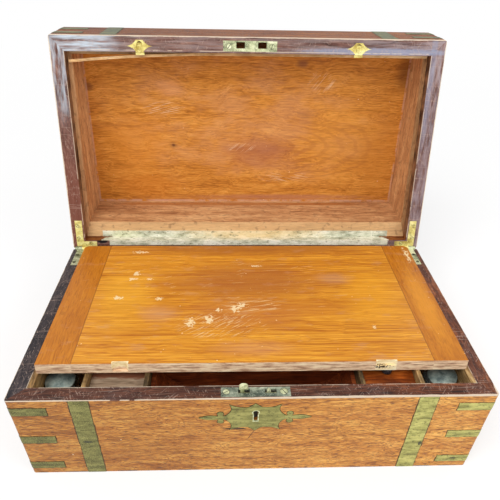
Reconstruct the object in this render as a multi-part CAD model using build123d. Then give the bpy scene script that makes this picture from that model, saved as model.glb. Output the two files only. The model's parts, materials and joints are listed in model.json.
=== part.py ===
from build123d import *
import os
from math import atan2, cos, radians, sin, tan

# Brass-bound writing box, opened. The lid and the base meet on a slope, so that the box,
# opened flat, makes one writing slope. Sizes are in millimetres.
# X runs to the right, Y to the back and Z up, from the middle of the base's underside.
# The lock is on the front, at low Y. The lid's pieces are drawn closed and then opened.

# Carcass
WIDTH = 457.0
DEPTH = 260.0
HEIGHT = 184.0
HINGE_HEIGHT = 92.0
FRONT_HEIGHT = 122.0
WALL = 16.0
LID_FRONT_WALL = 17.5
LID_BACK_WALL = 10.6
FACING = 1.2
BOTTOM = 9.0
LID_TOP = 9.0
CORNER_RADIUS = 3.0
TOP_EDGE_RADIUS = 2.0

# Running gaps between the base, the lid and the loose board
RIM_GAP = 0.3
BACK_GAP = 0.4
FLAP_GAP = 0.3
LID_OPEN_DEG = 98.6

# Linings
BASE_LINING = 5.0
LID_LINING = 5.0
LID_HINGE_LINING = 20.0
LID_REBATE = 13.2

# Trays at the front of the base
TRAY_WIDTH = 48.0
TRAY_FLOOR_TOP = 57.0
TRAY_FLOOR = 5.0
TRAY_WALL = 6.0
TRAY_DROP = 1.2
PARTITION = 4.2
PARTITION_SHOULDER = 2.0
INK_BAY = 44.2
SMALL_BAY = 53.3
SMALL_LID = 5.0
SMALL_LID_DROP = 9.0
SMALL_LID_GAP = 0.4
KNOB_DIAMETER = 11.0
KNOB_HEIGHT = 8.0
KNOB_STEM = 6.0
KNOB_STEM_HEIGHT = 2.0
KNOB_EDGE = 1.5
PEN_TRAY_HEIGHT = 46.0
PEN_TRAY_EDGE = 4.0
PEN_TRAY_FLOOR = 6.0
PEN_TRAY_GAP = 0.4

# Inkwells
INKWELL_SIZE = 29.0
INKWELL_FROM_SIDE = 15.2
INKWELL_FROM_FRONT = 25.5
INKWELL_BODY_HEIGHT = 35.0
INKWELL_CORNER = 3.0
INKWELL_SHOULDER = 3.0
INKWELL_NECK_DIAMETER = 21.0
INKWELL_NECK_HEIGHT = 4.5
INKWELL_BORE_DIAMETER = 16.0
INKWELL_BORE_DEPTH = 32.0
CAP_DIAMETER = 29.0
CAP_HEIGHT = 5.0
CAP_PLUG_DIAMETER = 11.0
CAP_PLUG_DEPTH = 4.0
CAP_SEAT_GAP = 0.3
CAP_TILT_DEG = 7.0
CAP_SHIFT = 0.3
CAP_EDGE = 1.6

# Loose writing flap. Front edges here and below are measured along the rim slope, from the
# arris of the box's front.
FLAP_FROM_SIDE = 19.5
FLAP_FROM_FRONT = 34.1
FLAP_BACK = 12.9
FLAP_THICKNESS = 11.6
CLAMP_WIDTH = 33.5
FLAP_TONGUE = 5.0
FLAP_TONGUE_THICKNESS = 4.0
FLAP_CORNER = 4.0
CHIPS_FROM_SIDE = (99.5, 100.0)
CHIP_WIDTHS = (15.5, 20.0)
CHIP_DEPTHS = (3.6, 2.4)
CHIP_FLOORS = (1.5, 6.0)
CHIP_OUTLINE = ((-1.0, 0.0), (-0.9, 0.6), (-0.2, 1.0), (0.7, 0.8), (1.0, 0.0))

# Inlaid brass bands
BRASS = 1.5
BRASS_PROUD = 0.3
STRAP_WIDTH = 18.0
STRAP_FROM_SIDE = 66.0
BAND_HEIGHT = 11.0
BAND_LEG = 35.0
LOW_BAND_Z = 14.8
BAND_BELOW_RIM = 17.0
LID_BAND_ABOVE_RIM = 17.0
LID_BAND_BELOW_TOP = 15.0

# Lock in the base, and its strike in the lid
LOCK_PLATE_LENGTH = 65.0
LOCK_PLATE_WIDTH = 12.0
LOCK_PLATE_FROM_FRONT = 7.9
LOCK_PLATE = 1.8
LOCK_CASE_LENGTH = 60.0
LOCK_CASE_THICKNESS = 9.0
LOCK_CASE_HEIGHT = 38.0
HOOK_X = (-11.0, 14.0)
HOOK_FROM_FRONT = 8.9
SLOT_LENGTH = 11.0
SLOT_WIDTH = 5.2
BOLT_LENGTH = 46.0
BOLT_THICKNESS = 3.4
BOLT_HEIGHT = 11.0
BOLT_TRAVEL = 3.0
BOLT_GAP = 0.3
BOLT_DROP = 2.5
HOOK_STALK = 3.6
HOOK_STALK_OFFSET = 1.6
HOOK_HEAD = 8.6
HOOK_HEAD_OFFSET = 0.4
HOOK_HEAD_HEIGHT = 3.8
HOOK_HEAD_DEPTH = 4.4
HOOK_RISE = 10.8
STUB_LOW = 1.0
STUB_MIDDLE = 1.6
STUB_HIGH = 4.6
STRIKE_LENGTH = 62.0
STRIKE_WIDTH = 11.5
STRIKE_FROM_FRONT = 9.9
STRIKE_HOLE_LENGTH = 10.0
STRIKE_HOLE_WIDTH = 6.8
STRIKE_POCKET_DEPTH = 12.0
STRIKE_POCKET_MARGIN = 1.2

# Escutcheon
ESCUTCHEON_Z = 92.5
PLATE_PEAK = 21.4
PLATE_OGEE = (3.2, 18.4)
PLATE_SHOULDER = (6.4, 15.8)
PLATE_DIP = (14.5, 15.7)
PLATE_CORNER = (24.7, 20.3)
PLATE_BITE = (22.6, 13.2)
PLATE_HIP = (25.7, 5.9)
PLATE_HOLLOW = (27.4, 4.0)
PLATE_NECK = (29.8, 2.8)
LOBE_CENTRE = (33.1, 6.0)
LOBE_RADIUS = 3.0
LOBE_WAIST = 4.6
SPEAR_SWELL = 44.0
SPEAR_HALF = 3.1
SPEAR_TIP = 53.9
KEYHOLE_X = 0.5
KEYHOLE_BOW = 7.4
KEYHOLE_DIAMETER = 5.6
KEYHOLE_SLOT = 3.9
KEYHOLE_DROP = 13.4
KEYHOLE_DEPTH = 3.0
LINER = 0.9

# Catches in the lid for the writing flap
CATCH_FROM_SIDE = 102.0
CATCH_FROM_FRONT = 11.3
CATCH_WIDTH = 30.0
CATCH_LENGTH = 13.2
CATCH_PLATE = 1.4
CATCH_TIP_FLAT = 8.0
CATCH_HOLLOW = (7.4, 2.8)
BUTTON_DIAMETER = 6.0
BUTTON_FROM_FRONT = 12.5
BUTTON_GAP = 0.3
TONGUE_WIDTH = 10.0
TONGUE = 1.6
TONGUE_GAP = 0.1
TONGUE_TIP_FROM_FRONT = 20.9
TONGUE_TAIL_FROM_FRONT = 7.4
CATCH_TRAVEL = 3.2

# Hinges, let in flush at the back corners
LEAF = 1.8
LEAF_FROM_SIDE = 5.0
LEAF_WIDTH = 26.0
LEAF_LEG_WIDTH = 9.0
LEAF_LEG_LENGTH = 39.0
LEAF_CROSS_LOW = 3.6
LEAF_CROSS_HIGH = 10.4
BARREL_RADIUS = 3.0
BARREL_FROM_SIDE = 2.5
BARREL_LENGTH = 27.0
KNUCKLES = 3
BARREL_NOTCH_GAP = 0.3
KNUCKLE_GAP = 0.15
PIN_RADIUS = 1.2
PIN_RUNNING_GAP = 0.06

# Loose moulding strip in the lid
STRIP_THICKNESS = 3.0
STRIP_HEIGHT = 6.0
STRIP_DROP = 9.5
STRIP_SPRUNG_X = -20.0
STRIP_END_GAP = 2.5
STRIP_WALL_GAP = 0.3

# Values worked out from the sizes above
SLOPE = atan2(FRONT_HEIGHT - HINGE_HEIGHT, DEPTH)
AXIS_Y = DEPTH / 2 + BACK_GAP
FAR = 4 * WIDTH
RIM = RIM_GAP / 2
WALL_TOP = -RIM - FACING
FRONT_INSIDE = -DEPTH / 2 + WALL
TRAY_BACK = FRONT_INSIDE + TRAY_WIDTH
INSIDE_X = WIDTH / 2 - WALL - BASE_LINING
LID_PANEL_Z = HEIGHT - LID_TOP
RIM_LENGTH = (DEPTH + BACK_GAP) / cos(SLOPE)
OUTER_PARTITION_X = INSIDE_X - INK_BAY - PARTITION / 2
INNER_PARTITION_X = OUTER_PARTITION_X - PARTITION - SMALL_BAY
INKWELL_X = INSIDE_X - INKWELL_FROM_SIDE
INKWELL_Y = FRONT_INSIDE + INKWELL_FROM_FRONT
STRAP_X = WIDTH / 2 - STRAP_FROM_SIDE
HOOK_FROM_HINGE = RIM_LENGTH - HOOK_FROM_FRONT
BUTTON_FROM_HINGE = RIM_LENGTH - BUTTON_FROM_FRONT
TONGUE_TIP = RIM_LENGTH - TONGUE_TIP_FROM_FRONT
TONGUE_TAIL = RIM_LENGTH - TONGUE_TAIL_FROM_FRONT
LEAF_OUTER_X = WIDTH / 2 - LEAF_FROM_SIDE
LEAF_INNER_X = LEAF_OUTER_X - LEAF_WIDTH
BARREL_END_X = WIDTH / 2 - BARREL_FROM_SIDE
FLAP_FRONT = RIM_LENGTH - FLAP_FROM_FRONT

rim_frame = Plane(
    origin=(0, AXIS_Y, HINGE_HEIGHT),
    x_dir=(1, 0, 0),
    z_dir=(0, sin(SLOPE), cos(SLOPE)),
).location
open_lid = (
    Pos(0, AXIS_Y, HINGE_HEIGHT)
    * Rot(-LID_OPEN_DEG, 0, 0)
    * Pos(0, -AXIS_Y, -HINGE_HEIGHT)
)


def on_rim(x, from_hinge, above):
    """A place given along the rim slope: from the hinge line, and above the slope."""
    return rim_frame * Pos(x, -from_hinge, above)


def rim_y(from_hinge):
    return AXIS_Y - from_hinge * cos(SLOPE)


def rim_z(y, above=0.0):
    """Height of the plane that lies a given distance above the rim slope."""
    return HINGE_HEIGHT + (AXIS_Y - y) * tan(SLOPE) + above / cos(SLOPE)


def slab(low, high):
    """All space between two planes that follow the rim slope."""
    return on_rim(0, DEPTH / 2, (low + high) / 2) * Box(FAR, FAR, high - low)


def block(x_range, y_range, z_range):
    sizes = [high - low for low, high in (x_range, y_range, z_range)]
    middle = [(high + low) / 2 for low, high in (x_range, y_range, z_range)]
    return Pos(*middle) * Box(*sizes)


def prism(face, low, high):
    return Pos(0, 0, low) * extrude(face, high - low)


def flat(*points):
    return make_face(Polyline(*points, close=True))


def bounded(*lines):
    """The flat face inside lines and arcs that meet end to end."""
    return make_face([edge for line in lines for edge in line.edges()])


def carcass(grow):
    """The closed box's outer form, larger all round by grow."""
    plan = RectangleRounded(WIDTH + 2 * grow, DEPTH + 2 * grow, CORNER_RADIUS + grow)
    body = prism(plan, -WALL, HEIGHT + grow)
    return fillet(body.edges().group_by(Axis.Z)[-1], TOP_EDGE_RADIUS + grow)


def inset(rectangle, side, front, back):
    left, low, right, high = rectangle
    return (left + side, low + front, right - side, high - back)


def mitred_frame(outer, inner, low, high, sides=("front", "back", "left", "right")):
    """Mitred prisms that fill the space between two rectangles, one for each side."""
    (left, front, right, back) = outer
    (in_left, in_front, in_right, in_back) = inner
    plans = {
        "front": [(left, front), (right, front), (in_right, in_front), (in_left, in_front)],
        "back": [(left, back), (in_left, in_back), (in_right, in_back), (right, back)],
        "left": [(left, front), (in_left, in_front), (in_left, in_back), (left, back)],
        "right": [(right, front), (right, back), (in_right, in_back), (in_right, in_front)],
    }
    return {side: prism(flat(*plans[side]), low, high) for side in sides}


def domed_disc(radius, edge, height):
    """A round disc with a straight edge and a domed top."""
    rise = height - edge
    dome = (radius**2 + rise**2) / (2 * rise)
    return prism(Circle(radius), 0, height) & Pos(0, 0, height - dome) * Sphere(dome)


def cut_for(wood, seated):
    """A piece of wood with a seat cut for each thing that is let into it."""
    for piece in seated:
        wood -= piece
    return wood


def both_sides(shape):
    return shape, shape.mirror(Plane.YZ)


outline = (-WIDTH / 2, -DEPTH / 2, WIDTH / 2, DEPTH / 2)
base_inside = inset(outline, WALL, WALL, WALL)
lid_inside = inset(outline, WALL, LID_FRONT_WALL, LID_BACK_WALL)
lined_base = inset(base_inside, BASE_LINING, 0, BASE_LINING)
lined_lid = inset(lid_inside, LID_LINING, LID_LINING, LID_HINGE_LINING)
outer_form = carcass(0)
brass_skin = carcass(BRASS_PROUD) - carcass(BRASS_PROUD - BRASS)
nodes = {}


# Inlaid straps and corner bands

def corner_bands(heights, y_side):
    """Bands round the two vertical corners at one end of the depth."""
    legs_y = (DEPTH / 2 - BAND_LEG, DEPTH)
    y_range = legs_y if y_side > 0 else (-legs_y[1], -legs_y[0])
    bands = []
    for z in heights:
        reach = block(
            (WIDTH / 2 - BAND_LEG, WIDTH),
            y_range,
            (z - BAND_HEIGHT / 2, z + BAND_HEIGHT / 2),
        )
        bands += both_sides(brass_skin & reach)
    return bands


def strap_reach(x, low, high):
    strap = block((x - STRAP_WIDTH / 2, x + STRAP_WIDTH / 2), (-DEPTH, DEPTH), (0, 2 * HEIGHT))
    return strap & slab(low, high)


def spread(low, high):
    return (low, (low + high) / 2, high)


front_bands = spread(LOW_BAND_Z, FRONT_HEIGHT - BAND_BELOW_RIM)
back_bands = spread(LOW_BAND_Z, HINGE_HEIGHT - BAND_BELOW_RIM)
lid_bands = (FRONT_HEIGHT + LID_BAND_ABOVE_RIM, HEIGHT - LID_BAND_BELOW_TOP)

base_corners = corner_bands(front_bands, -1) + corner_bands(back_bands, 1)
lid_corners = corner_bands(lid_bands, -1) + corner_bands(lid_bands, 1)
base_straps = [
    piece
    for x in (-STRAP_X, STRAP_X)
    for piece in (brass_skin & strap_reach(x, -HEIGHT, WALL_TOP)).solids()
]
lid_straps = [
    piece
    for x in (-STRAP_X, STRAP_X)
    for piece in (brass_skin & strap_reach(x, -WALL_TOP, HEIGHT)).solids()
]


# Hinges: each leaf is an L let in flush, and its knuckles turn on a pin at the back edge

def barrel(x_low, x_high, radius):
    middle = (x_low + x_high) / 2
    return Pos(middle, AXIS_Y, HINGE_HEIGHT) * Rot(0, 90, 0) * Cylinder(radius, x_high - x_low)


barrel_start = BARREL_END_X - BARREL_LENGTH
knuckle = BARREL_LENGTH / KNUCKLES
knuckle_ends = [barrel_start + knuckle * step for step in range(KNUCKLES + 1)]
base_knuckles = [
    (knuckle_ends[0], knuckle_ends[1] - KNUCKLE_GAP),
    (knuckle_ends[2] + KNUCKLE_GAP, knuckle_ends[3]),
]
lid_knuckles = [(knuckle_ends[1], knuckle_ends[2])]


def leaf_blank(knuckles, low, high):
    """The L-shaped plate, from the barrel to the end of its long leg."""
    leg_x = (LEAF_OUTER_X - LEAF_LEG_WIDTH, LEAF_OUTER_X)
    plate = flat(
        (LEAF_INNER_X, -LEAF_CROSS_LOW),
        (LEAF_INNER_X, -LEAF_CROSS_HIGH),
        (leg_x[0], -LEAF_CROSS_HIGH),
        (leg_x[0], -LEAF_LEG_LENGTH),
        (leg_x[1], -LEAF_LEG_LENGTH),
        (leg_x[1], -LEAF_CROSS_LOW),
    )
    leaf = rim_frame * prism(plate, low, high)
    for start, end in knuckles:
        neck_end = min(end, LEAF_OUTER_X)
        neck = flat(
            (start, 0), (start, -LEAF_CROSS_LOW), (neck_end, -LEAF_CROSS_LOW), (neck_end, 0)
        )
        leaf += rim_frame * prism(neck, low, high)
    return leaf


def hinge_leaf(knuckles, low, high, bore_radius):
    leaf = leaf_blank(knuckles, low, high)
    for start, end in knuckles:
        leaf += barrel(start, end, BARREL_RADIUS)
    return leaf - barrel(barrel_start, BARREL_END_X, bore_radius)


barrel_notch = barrel(
    barrel_start - BARREL_NOTCH_GAP,
    BARREL_END_X + BARREL_NOTCH_GAP,
    BARREL_RADIUS + BARREL_NOTCH_GAP,
)
base_leaf = hinge_leaf(base_knuckles, -RIM - LEAF, -RIM, PIN_RADIUS)
base_leaf += barrel(barrel_start, BARREL_END_X, PIN_RADIUS)
lid_leaf = hinge_leaf(lid_knuckles, RIM, RIM + LEAF, PIN_RADIUS + PIN_RUNNING_GAP)
leaf_seats = {
    "base": [*both_sides(leaf_blank(base_knuckles, -RIM - LEAF, -RIM)), *both_sides(barrel_notch)],
    "lid": [*both_sides(leaf_blank(lid_knuckles, RIM, RIM + LEAF)), *both_sides(barrel_notch)],
}
nodes["hinge_base_right"], nodes["hinge_base_left"] = both_sides(base_leaf)
nodes["hinge_lid_right"], nodes["hinge_lid_left"] = both_sides(open_lid * lid_leaf)


# Lock: a case in the front wall, a plate in the rim, and a bolt that slides along X

hook_y = rim_y(HOOK_FROM_HINGE)
case_top = rim_z(hook_y, -RIM - LOCK_PLATE)
case_y = (hook_y - LOCK_CASE_THICKNESS / 2, hook_y + LOCK_CASE_THICKNESS / 2)
below_plate = slab(-HEIGHT, -RIM - LOCK_PLATE)
lock_case = below_plate & block(
    (-LOCK_CASE_LENGTH / 2, LOCK_CASE_LENGTH / 2),
    case_y,
    (case_top - LOCK_CASE_HEIGHT, case_top + LOCK_CASE_HEIGHT),
)
bolt_top = case_top - BOLT_DROP
bolt_low = bolt_top - BOLT_HEIGHT
bolt_channel = block(
    (-BOLT_LENGTH / 2 - BOLT_GAP, BOLT_LENGTH / 2 + BOLT_TRAVEL + BOLT_GAP),
    (hook_y - BOLT_THICKNESS / 2 - BOLT_GAP, hook_y + BOLT_THICKNESS / 2 + BOLT_GAP),
    (bolt_low - BOLT_GAP, HEIGHT),
)
plate_blank = on_rim(0, RIM_LENGTH - LOCK_PLATE_FROM_FRONT, -RIM - LOCK_PLATE / 2) * Box(
    LOCK_PLATE_LENGTH, LOCK_PLATE_WIDTH, LOCK_PLATE
)
through = 2 * (LOCK_PLATE + RIM_GAP)
slot = on_rim(0, HOOK_FROM_HINGE, 0) * Box(SLOT_LENGTH, SLOT_WIDTH, through)
lock_plate = plate_blank
for x in HOOK_X:
    lock_plate -= Pos(x, 0, 0) * slot


def hook(x):
    """A domed head on a stalk, overhanging towards the side that it locks on."""
    stalk_x = x - HOOK_STALK_OFFSET
    head_x = x - HOOK_HEAD_OFFSET
    crown_z = case_top + HOOK_RISE
    neck_z = crown_z - HOOK_HEAD_HEIGHT
    stalk = flat(
        (stalk_x - HOOK_STALK / 2, bolt_low + BOLT_HEIGHT / 2),
        (stalk_x + HOOK_STALK / 2, bolt_low + BOLT_HEIGHT / 2),
        (stalk_x + HOOK_STALK / 2, neck_z),
        (stalk_x - HOOK_STALK / 2, neck_z),
    )
    left = (head_x - HOOK_HEAD / 2, neck_z)
    right = (head_x + HOOK_HEAD / 2, neck_z)
    dome = bounded(Line(left, right), ThreePointArc(left, (head_x, crown_z), right))
    stalk = extrude(Plane.XZ * stalk, BOLT_THICKNESS / 2, both=True)
    head = extrude(Plane.XZ * dome, HOOK_HEAD_DEPTH / 2, both=True)
    return Pos(0, hook_y, 0) * (stalk + head)


stub_x = HOOK_X[1] - HOOK_STALK_OFFSET
broken_stub = Plane.XZ * flat(
    (stub_x - HOOK_STALK / 2, bolt_low + BOLT_HEIGHT / 2),
    (stub_x + HOOK_STALK / 2, bolt_low + BOLT_HEIGHT / 2),
    (stub_x + HOOK_STALK / 2, case_top + STUB_LOW),
    (stub_x, case_top + STUB_HIGH),
    (stub_x - HOOK_STALK / 2, case_top + STUB_MIDDLE),
)
lock_bolt = block(
    (-BOLT_LENGTH / 2, BOLT_LENGTH / 2),
    (hook_y - BOLT_THICKNESS / 2, hook_y + BOLT_THICKNESS / 2),
    (bolt_low, bolt_top),
)
lock_bolt += hook(HOOK_X[0])
lock_bolt += Pos(0, hook_y, 0) * extrude(broken_stub, BOLT_THICKNESS / 2, both=True)
nodes["lock_bolt"] = lock_bolt
nodes["lock_plate"] = lock_plate

strike_blank = on_rim(0, RIM_LENGTH - STRIKE_FROM_FRONT, RIM + LOCK_PLATE / 2) * Box(
    STRIKE_LENGTH, STRIKE_WIDTH, LOCK_PLATE
)
strike_hole = on_rim(0, HOOK_FROM_HINGE, 0) * Box(
    STRIKE_HOLE_LENGTH, STRIKE_HOLE_WIDTH, through
)
pocket_x = (
    HOOK_X[0] - STRIKE_HOLE_LENGTH / 2 - STRIKE_POCKET_MARGIN,
    HOOK_X[1] + STRIKE_HOLE_LENGTH / 2 + BOLT_TRAVEL + STRIKE_POCKET_MARGIN,
)
strike_pocket = on_rim(sum(pocket_x) / 2, HOOK_FROM_HINGE, STRIKE_POCKET_DEPTH / 2) * Box(
    pocket_x[1] - pocket_x[0],
    STRIKE_HOLE_WIDTH + 2 * STRIKE_POCKET_MARGIN,
    STRIKE_POCKET_DEPTH,
)
strike_plate = strike_blank
for x in HOOK_X:
    strike_plate -= Pos(x, 0, 0) * strike_hole
nodes["lid_strike_plate"] = open_lid * strike_plate


# Escutcheon: an inlaid brass plate with hollow sides, lobes and spear tips

front_face = Plane((0, -DEPTH / 2, ESCUTCHEON_Z), x_dir=(1, 0, 0), z_dir=(0, -1, 0)).location


def mirrored_four_ways(quarter):
    half = quarter + quarter.mirror(Plane.YZ)
    return half + half.mirror(Plane.XZ)


def escutcheon_face():
    quarter = bounded(
        ThreePointArc((0, PLATE_PEAK), PLATE_OGEE, PLATE_SHOULDER),
        ThreePointArc(PLATE_SHOULDER, PLATE_DIP, PLATE_CORNER),
        ThreePointArc(PLATE_CORNER, PLATE_BITE, PLATE_HIP),
        ThreePointArc(PLATE_HIP, PLATE_HOLLOW, PLATE_NECK),
        Polyline(PLATE_NECK, (PLATE_NECK[0], 0), (0, 0), (0, PLATE_PEAK)),
    )
    lobe = Pos(LOBE_CENTRE) * Circle(LOBE_RADIUS)
    web = Pos(LOBE_CENTRE[0], LOBE_CENTRE[1] / 2) * Rectangle(LOBE_WAIST, LOBE_CENTRE[1])
    joint = Pos((PLATE_NECK[0] + LOBE_CENTRE[0]) / 2, PLATE_NECK[1] / 2) * Rectangle(
        LOBE_CENTRE[0] - PLATE_NECK[0], PLATE_NECK[1]
    )
    spear = bounded(
        ThreePointArc((LOBE_CENTRE[0], SPEAR_HALF / 2), (SPEAR_SWELL, SPEAR_HALF), (SPEAR_TIP, 0)),
        Polyline((SPEAR_TIP, 0), (LOBE_CENTRE[0], 0), (LOBE_CENTRE[0], SPEAR_HALF / 2)),
    )
    return mirrored_four_ways(quarter + lobe + web + joint + spear)


def keyhole_face(grow):
    bow = Pos(0, KEYHOLE_BOW) * Circle(KEYHOLE_DIAMETER / 2 + grow)
    shaft_low = KEYHOLE_BOW - KEYHOLE_DROP - grow
    shaft = Pos(0, (KEYHOLE_BOW + shaft_low) / 2) * Rectangle(
        KEYHOLE_SLOT + 2 * grow, KEYHOLE_BOW - shaft_low
    )
    return Pos(KEYHOLE_X, 0) * (bow + shaft)


def let_in(face, depth, proud):
    """A shape on the front face, let into the wood and standing a little proud."""
    return front_face * prism(face, -depth, proud)


wood_depth = BRASS - BRASS_PROUD
escutcheon_blank = let_in(escutcheon_face(), wood_depth, BRASS_PROUD)
liner_blank = let_in(keyhole_face(LINER), wood_depth, BRASS_PROUD)
case_front = -DEPTH / 2 - case_y[0]
key_way = let_in(keyhole_face(0), KEYHOLE_DEPTH - case_front, BRASS_PROUD)
nodes["escutcheon"] = escutcheon_blank - liner_blank
nodes["keyhole_liner"] = liner_blank - key_way
nodes["lock_case"] = lock_case - bolt_channel - key_way


# Catches: a star-shaped plate over a sliding tongue with a thumb button

def catch_pieces(x):
    half_width = CATCH_WIDTH / 2
    half_length = CATCH_LENGTH / 2
    quarter = bounded(
        ThreePointArc((CATCH_TIP_FLAT / 2, half_length), CATCH_HOLLOW, (half_width, 0)),
        Polyline((half_width, 0), (0, 0), (0, half_length), (CATCH_TIP_FLAT / 2, half_length)),
    )
    blank = prism(mirrored_four_ways(quarter), RIM, RIM + CATCH_PLATE)
    blank = on_rim(x, RIM_LENGTH - CATCH_FROM_FRONT, 0) * blank
    well_width = BUTTON_DIAMETER + 2 * BUTTON_GAP
    well = Rot(0, 0, 90) * SlotCenterToCenter(CATCH_TRAVEL, well_width)
    well = on_rim(x, BUTTON_FROM_HINGE + CATCH_TRAVEL / 2, 0) * prism(well, 0, RIM + CATCH_PLATE)
    tongue_low = RIM + CATCH_PLATE + TONGUE_GAP
    tongue = on_rim(x, (TONGUE_TIP + TONGUE_TAIL) / 2, tongue_low + TONGUE / 2) * Box(
        TONGUE_WIDTH, TONGUE_TAIL - TONGUE_TIP, TONGUE
    )
    tongue = chamfer(tongue.edges().group_by(Axis.Y)[-1].sort_by(Axis.Z)[-1], TONGUE / 2)
    button = on_rim(x, BUTTON_FROM_HINGE, 0) * prism(
        Circle(BUTTON_DIAMETER / 2), RIM, tongue_low
    )
    pocket_end = TONGUE_TAIL + CATCH_TRAVEL + BUTTON_GAP
    pocket_low = RIM + CATCH_PLATE
    pocket_high = tongue_low + TONGUE + BUTTON_GAP
    pocket = on_rim(x, (TONGUE_TIP + pocket_end) / 2, (pocket_low + pocket_high) / 2) * Box(
        TONGUE_WIDTH + 2 * BUTTON_GAP, pocket_end - TONGUE_TIP, pocket_high - pocket_low
    )
    return blank, blank - well, tongue + button, pocket


catch_x = WIDTH / 2 - CATCH_FROM_SIDE
left_catch = catch_pieces(-catch_x)
right_catch = catch_pieces(catch_x)
catch_seats = [left_catch[0], left_catch[3], right_catch[0], right_catch[3]]
nodes["catch_plates"] = open_lid * Compound([left_catch[1], right_catch[1]])
nodes["catch_tongue_left"] = open_lid * left_catch[2]
nodes["catch_tongue_right"] = open_lid * right_catch[2]


# Base: mitred walls with rim facings, a bottom let in between them, and linings

lock_seat = slab(-HEIGHT, -RIM) & block(
    (-LOCK_CASE_LENGTH / 2, LOCK_CASE_LENGTH / 2),
    case_y,
    (case_top - LOCK_CASE_HEIGHT, HEIGHT),
)
lock_seats = [lock_seat, plate_blank, escutcheon_blank, key_way]
let_into_base = {
    "front": base_straps + base_corners + lock_seats,
    "back": base_straps + base_corners + leaf_seats["base"],
    "left": base_corners + leaf_seats["base"],
    "right": base_corners + leaf_seats["base"],
}
base_frame = mitred_frame(outline, base_inside, 0, HEIGHT)
for side, blank in base_frame.items():
    body = blank & outer_form
    wall = body & slab(-2 * HEIGHT, WALL_TOP)
    facing = body & slab(WALL_TOP, -RIM)
    nodes[f"base_wall_{side}"] = cut_for(wall, let_into_base[side])
    nodes[f"base_rim_{side}"] = cut_for(facing, let_into_base[side])

nodes["base_bottom"] = block(
    (base_inside[0], base_inside[2]), (base_inside[1], base_inside[3]), (0, BOTTOM)
)
base_linings = mitred_frame(base_inside, lined_base, BOTTOM, HEIGHT, ("left", "right", "back"))
for side, blank in base_linings.items():
    nodes[f"base_lining_{side}"] = blank & slab(-2 * HEIGHT, -RIM)
nodes["base_straps"] = Compound(base_straps)
nodes["base_corners"] = Compound(base_corners)


# Trays: a raised floor at the front, split by partitions that carry two small lids

below_trays = slab(-2 * HEIGHT, -RIM - TRAY_DROP)
tray_y = (FRONT_INSIDE, TRAY_BACK)
small_lid_top = rim_z(sum(tray_y) / 2) - SMALL_LID_DROP
shoulder_z = small_lid_top - SMALL_LID
nodes["tray_floor"] = block(
    (-INSIDE_X, INSIDE_X), tray_y, (TRAY_FLOOR_TOP - TRAY_FLOOR, TRAY_FLOOR_TOP)
)
nodes["tray_back_wall"] = below_trays & block(
    (-INSIDE_X, INSIDE_X), (TRAY_BACK, TRAY_BACK + TRAY_WALL), (BOTTOM, HEIGHT)
)


def partition(x, shoulder_side):
    """An upright board with a shoulder on one side for a small lid to rest on."""
    face_x = x + shoulder_side * PARTITION / 2
    back_x = x - shoulder_side * PARTITION / 2
    shoulder_x = face_x + shoulder_side * PARTITION_SHOULDER
    profile = Plane.XZ * flat(
        (back_x, TRAY_FLOOR_TOP),
        (back_x, HEIGHT),
        (face_x, HEIGHT),
        (face_x, shoulder_z),
        (shoulder_x, shoulder_z),
        (shoulder_x, TRAY_FLOOR_TOP),
    )
    board = Pos(0, tray_y[1], 0) * extrude(profile, TRAY_WIDTH)
    return board & below_trays


nodes["partition_inner_right"] = partition(INNER_PARTITION_X, 1)
nodes["partition_outer_right"] = partition(OUTER_PARTITION_X, -1)
nodes["partition_inner_left"] = partition(-INNER_PARTITION_X, -1)
nodes["partition_outer_left"] = partition(-OUTER_PARTITION_X, 1)

small_lid_x = (
    INNER_PARTITION_X + PARTITION / 2 + SMALL_LID_GAP,
    OUTER_PARTITION_X - PARTITION / 2 - SMALL_LID_GAP,
)
small_lid = block(
    small_lid_x,
    (tray_y[0] + SMALL_LID_GAP, tray_y[1] - SMALL_LID_GAP),
    (shoulder_z, small_lid_top),
)
nodes["small_lid_right"], nodes["small_lid_left"] = both_sides(small_lid)
knob = prism(Circle(KNOB_STEM / 2), 0, KNOB_STEM_HEIGHT)
knob += Pos(0, 0, KNOB_STEM_HEIGHT) * domed_disc(
    KNOB_DIAMETER / 2, KNOB_EDGE, KNOB_HEIGHT - KNOB_STEM_HEIGHT
)
nodes["small_lid_knob"] = Pos(sum(small_lid_x) / 2, sum(tray_y) / 2, small_lid_top) * knob

pen_half = INNER_PARTITION_X - PARTITION / 2 - PEN_TRAY_GAP
pen_block = block(
    (-pen_half, pen_half),
    (tray_y[0] + PEN_TRAY_GAP, tray_y[1] - PEN_TRAY_GAP),
    (TRAY_FLOOR_TOP, TRAY_FLOOR_TOP + PEN_TRAY_HEIGHT),
)
scoop_half = pen_half - PEN_TRAY_EDGE
scoop_depth = PEN_TRAY_HEIGHT - PEN_TRAY_FLOOR
scoop_top = TRAY_FLOOR_TOP + PEN_TRAY_HEIGHT
scoop_low = scoop_top - scoop_depth
scoop_profile = Plane.XZ * bounded(
    Line((-scoop_half, scoop_top), (scoop_half, scoop_top)),
    RadiusArc((scoop_half, scoop_top), (scoop_half - scoop_depth, scoop_low), scoop_depth),
    Line((scoop_half - scoop_depth, scoop_low), (scoop_depth - scoop_half, scoop_low)),
    RadiusArc((scoop_depth - scoop_half, scoop_low), (-scoop_half, scoop_top), scoop_depth),
)
scoop_width = TRAY_WIDTH - 2 * (PEN_TRAY_GAP + PEN_TRAY_EDGE)
scoop = Pos(0, sum(tray_y) / 2, 0) * extrude(scoop_profile, scoop_width / 2, both=True)
nodes["pen_tray"] = pen_block - scoop


# Inkwells: square glass bottles with chamfered corners, each under a round pewter cap

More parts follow.
